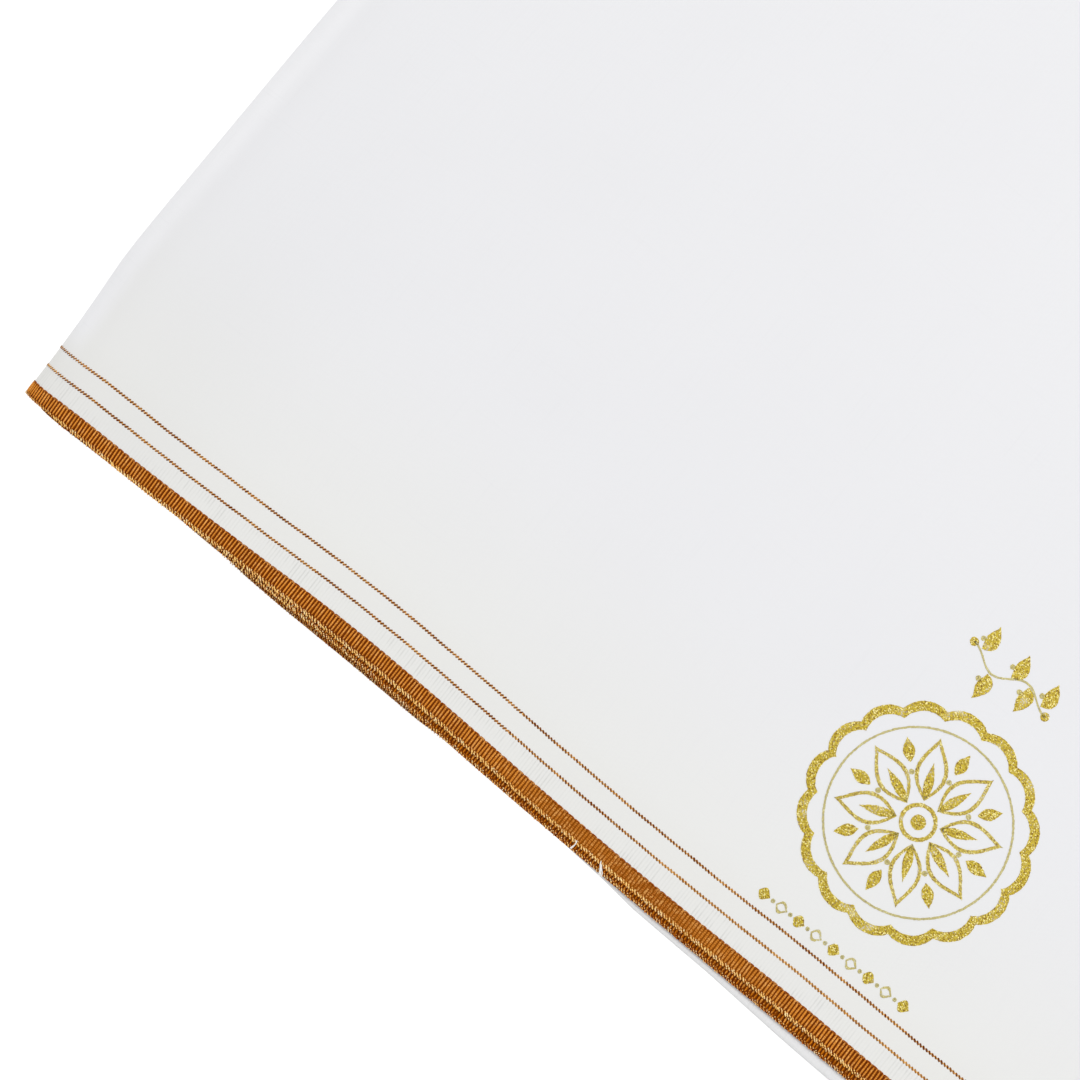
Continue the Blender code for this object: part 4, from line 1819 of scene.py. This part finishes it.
@dataclass
class StrayThreads:
    """Loose white thread ends that lie across the second border, each along a route in mm."""

    pack: FoldedPack
    radius: float = 0.12 * MM
    lift: float = 0.12 * MM
    sides: int = 6
    routes: tuple = (
        ((143.5, 0.15), (143.7, -0.3), (143.7, -0.8), (143.55, -1.3), (143.4, -1.75)),
        ((143.68, -0.4), (143.72, -0.9), (143.65, -1.3), (143.58, -1.75)),
        ((149.5, 0.0), (149.8, -0.6), (150.3, -1.2), (150.9, -1.9), (151.0, -2.3)),
        ((149.9, -0.4), (150.4, -1.0), (151.1, -1.6), (151.3, -2.2)),
        ((150.1, -1.0), (150.5, -1.6), (150.7, -2.2)),
    )

    def build(self, finish: Material) -> Object:
        """Lay the thread ends as round tubes.

        Args:
            finish: their material.

        Returns:
            The new object.
        """
        points, faces = [], []
        for route in self.routes:
            self.tube(route, points, faces)
        return mesh_object("stray_threads", points, faces, finish)

    def tube(self, route: Sequence[tuple[float, float]], points: list, faces: list) -> None:
        """Add one round tube.

        Args:
            route: its places along and back, in mm.
            points: the piece's points so far.
            faces: the piece's faces so far.
        """
        ring = range(self.sides)
        spine = [self.pack.top_point(along * MM, deep * MM, self.lift) for along, deep in route]
        base = len(points)
        last = base + (len(spine) - 1) * self.sides
        for index, spot in enumerate(spine):
            ahead = spine[min(index + 1, len(spine) - 1)] - spine[max(index - 1, 0)]
            side = ahead.cross(Vector((0.0, 0.0, 1.0))).normalized()
            up = side.cross(ahead).normalized()
            angles = [tau * k / self.sides for k in ring]
            points += [spot + self.radius * (cos(angle) * side + sin(angle) * up) for angle in angles]
        for a in range(base, last, self.sides):
            b = a + self.sides
            faces += [(b + k, b + (k + 1) % self.sides, a + (k + 1) % self.sides, a + k) for k in ring]
        faces.append(tuple(base + k for k in ring))
        faces.append(tuple(last + k for k in reversed(ring)))


@dataclass
class Studio:
    """Pale floor, soft lights and the camera at the photograph's angle."""

    pack: FoldedPack
    azimuth: float = radians(39.09)
    elevation: float = radians(82.0)
    distance: float = 0.400
    aim_along: float = 101.98 * MM
    aim_deep: float = 40.25 * MM
    lens: float = 69.19
    sensor: float = 36.0
    clip: Reach = (0.01, 100.0)
    floor_half: float = 60.0
    room_strength: float = 0.64

    def place(self, name: str, data: bpy.types.ID, where: Vector, back: Vector) -> Object:
        """Put a camera or a light in the scene.

        Args:
            name: its name.
            data: the camera or light.
            where: its place.
            back: the direction that its back looks in.

        Returns:
            The new object.
        """
        made = bpy.data.objects.new(name, data)
        made.location = where
        made.rotation_mode = "QUATERNION"
        made.rotation_quaternion = (-back).to_track_quat("-Z", "Y")
        bpy.context.scene.collection.objects.link(made)
        return made

    def camera(self) -> None:
        """Set the camera."""
        data = bpy.data.cameras.new("camera")
        data.lens, data.sensor_width = self.lens, self.sensor
        data.clip_start, data.clip_end = self.clip
        low = cos(self.elevation)
        back = Vector((sin(self.azimuth) * low, -cos(self.azimuth) * low, sin(self.elevation)))
        target = self.pack.origin + Vector((self.aim_along, self.aim_deep, self.pack.height))
        bpy.context.scene.camera = self.place("camera", data, target + back * self.distance, back)

    def floor(self) -> None:
        """Lay the pale floor under the pack."""
        half = self.floor_half
        corners = [(-half, -half, 0.0), (half, -half, 0.0), (half, half, 0.0), (-half, half, 0.0)]
        mesh_object("floor", corners, [(0, 1, 2, 3)], PalePaper().build())

    def light(self, name: str, where: Vector, size: float, power: float, colour: Colour) -> None:
        """Hang one square soft light, turned to the middle of the pack.

        Args:
            name: its name.
            where: its place.
            size: length of its side.
            power: its power in watts.
            colour: its colour.
        """
        data = bpy.data.lights.new(name, "AREA")
        data.size, data.energy, data.color = size, power, colour
        self.place(name, data, where, where)

    def lights(self) -> None:
        """Hang the soft lights and light the room evenly."""
        world = bpy.data.worlds.new("room")
        world.use_nodes = True
        background = world.node_tree.nodes["Background"]
        background.inputs["Color"].default_value = (1.0, 1.0, 1.0, 1.0)
        background.inputs["Strength"].default_value = self.room_strength
        scene = bpy.context.scene
        scene.world = world
        scene.view_settings.view_transform = "Standard"
        scene.view_settings.look = "None"
        self.light("key", Vector((0.55, 0.75, 1.10)), size=0.9, power=10.4, colour=(1.0, 1.0, 1.0))
        self.light("fill", Vector((-0.9, -0.5, 1.0)), size=1.2, power=3.5, colour=(1.0, 0.99, 0.97))

    def build(self) -> None:
        """Set up the whole studio."""
        self.camera()
        self.floor()
        self.lights()


def dress(piece: Object, slot: str, *nodes: str) -> Object:
    """Fasten a piece to the part and report it.

    Args:
        piece: the finished piece.
        slot: its material slot; not used.
        nodes: the solids that it stands for.

    Returns:
        The same piece.
    """
    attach(piece, "root")
    if nodes:
        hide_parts(*nodes)
    LOG.info("%s: %d faces", piece.name, len(piece.data.polygons))
    return piece


def main() -> None:
    """Build and dress every piece in order."""
    logging.basicConfig(level=logging.INFO, format="%(message)s")
    pack = FoldedPack()
    ground = BandGround().build()
    shaded_brown = (0.100, 0.014, 0.0005)
    shaded_ground = BandGround("shaded_band_ground", shaded_brown, rubbed=shaded_brown).build()
    rib_thread, shaded_thread, selvedge_thread, stripe_thread, white_thread = (
        LaidThread(*row).build() for row in THREADS
    )

    outer, layers = OuterStretches(pack), InnerLayers(pack)
    outer_cloth = dress(outer.build(FineCotton().build()), "white_cotton", "top_cloth", "under_cloth")
    inner_layers = dress(layers.build(ShadedLayerCotton().build()), "white_layers", "hidden_layers", "front_fold")
    top = WovenBorder(pack, "outer_border", Lane.FIRST, 0.20 * MM)
    inner = {
        "tone_spread": 0.60, "narrow_along": 5.0 * MM, "rubbed_share": 0.0, "curl": 0.0,
        "stitch_length": 0.66 * MM,
    }
    second = WovenBorder(
        pack, "second_border_band", Lane.SECOND, 0.12 * MM, shadow=0.07, glow=0.66, fade=0.45, flare=0.35,
        **inner,
    )
    peeping = (pack.run_at(NEXT_STRETCH, 116.0 * MM), pack.run_at(NEXT_STRETCH, 44.0 * MM))
    third = WovenBorder(pack, "third_border", Lane.FIRST, 0.14 * MM, glow=0.58, runs=peeping, **inner)
    near_stripe = ThreadStripe(pack, "near_stripe", 7.65 * MM, 3, worn=0.16)
    far_stripe = ThreadStripe(pack, "far_stripe", 12.02 * MM, 7)
    trims = [
        dress(top.strip(ground), "brown_border", "top_border", "under_border"),
        dress(top.ribs(rib_thread), "brown_border"),
        dress(top.stitches(selvedge_thread), "brown_border"),
        dress(near_stripe.build(stripe_thread), "brown_border"),
        dress(far_stripe.build(stripe_thread), "brown_border"),
        dress(StampedMark(pack).build(GoldInk().build()), "brown_border"),
    ]
    inner_trims = [
        dress(second.strip(shaded_ground), "brown_border", "second_border"),
        dress(second.ribs(shaded_thread), "brown_border"),
        dress(second.stitches(selvedge_thread), "brown_border"),
        dress(layers.build_borders(ground), "brown_border"),
        dress(third.ribs(rib_thread), "brown_border"),
        dress(third.stitches(selvedge_thread), "brown_border"),
        dress(StrayThreads(pack).build(white_thread), "white_layers"),
    ]
    run = pack.outer_run()
    whole_run = pack.stations(layers.flat_steps, layers.turn_steps)[-1].run
    inner_area = 3.0 * whole_run * pack.depth + (whole_run - run) * pack.depth
    Studio(pack).build()


if __name__ == "__main__":
    main()
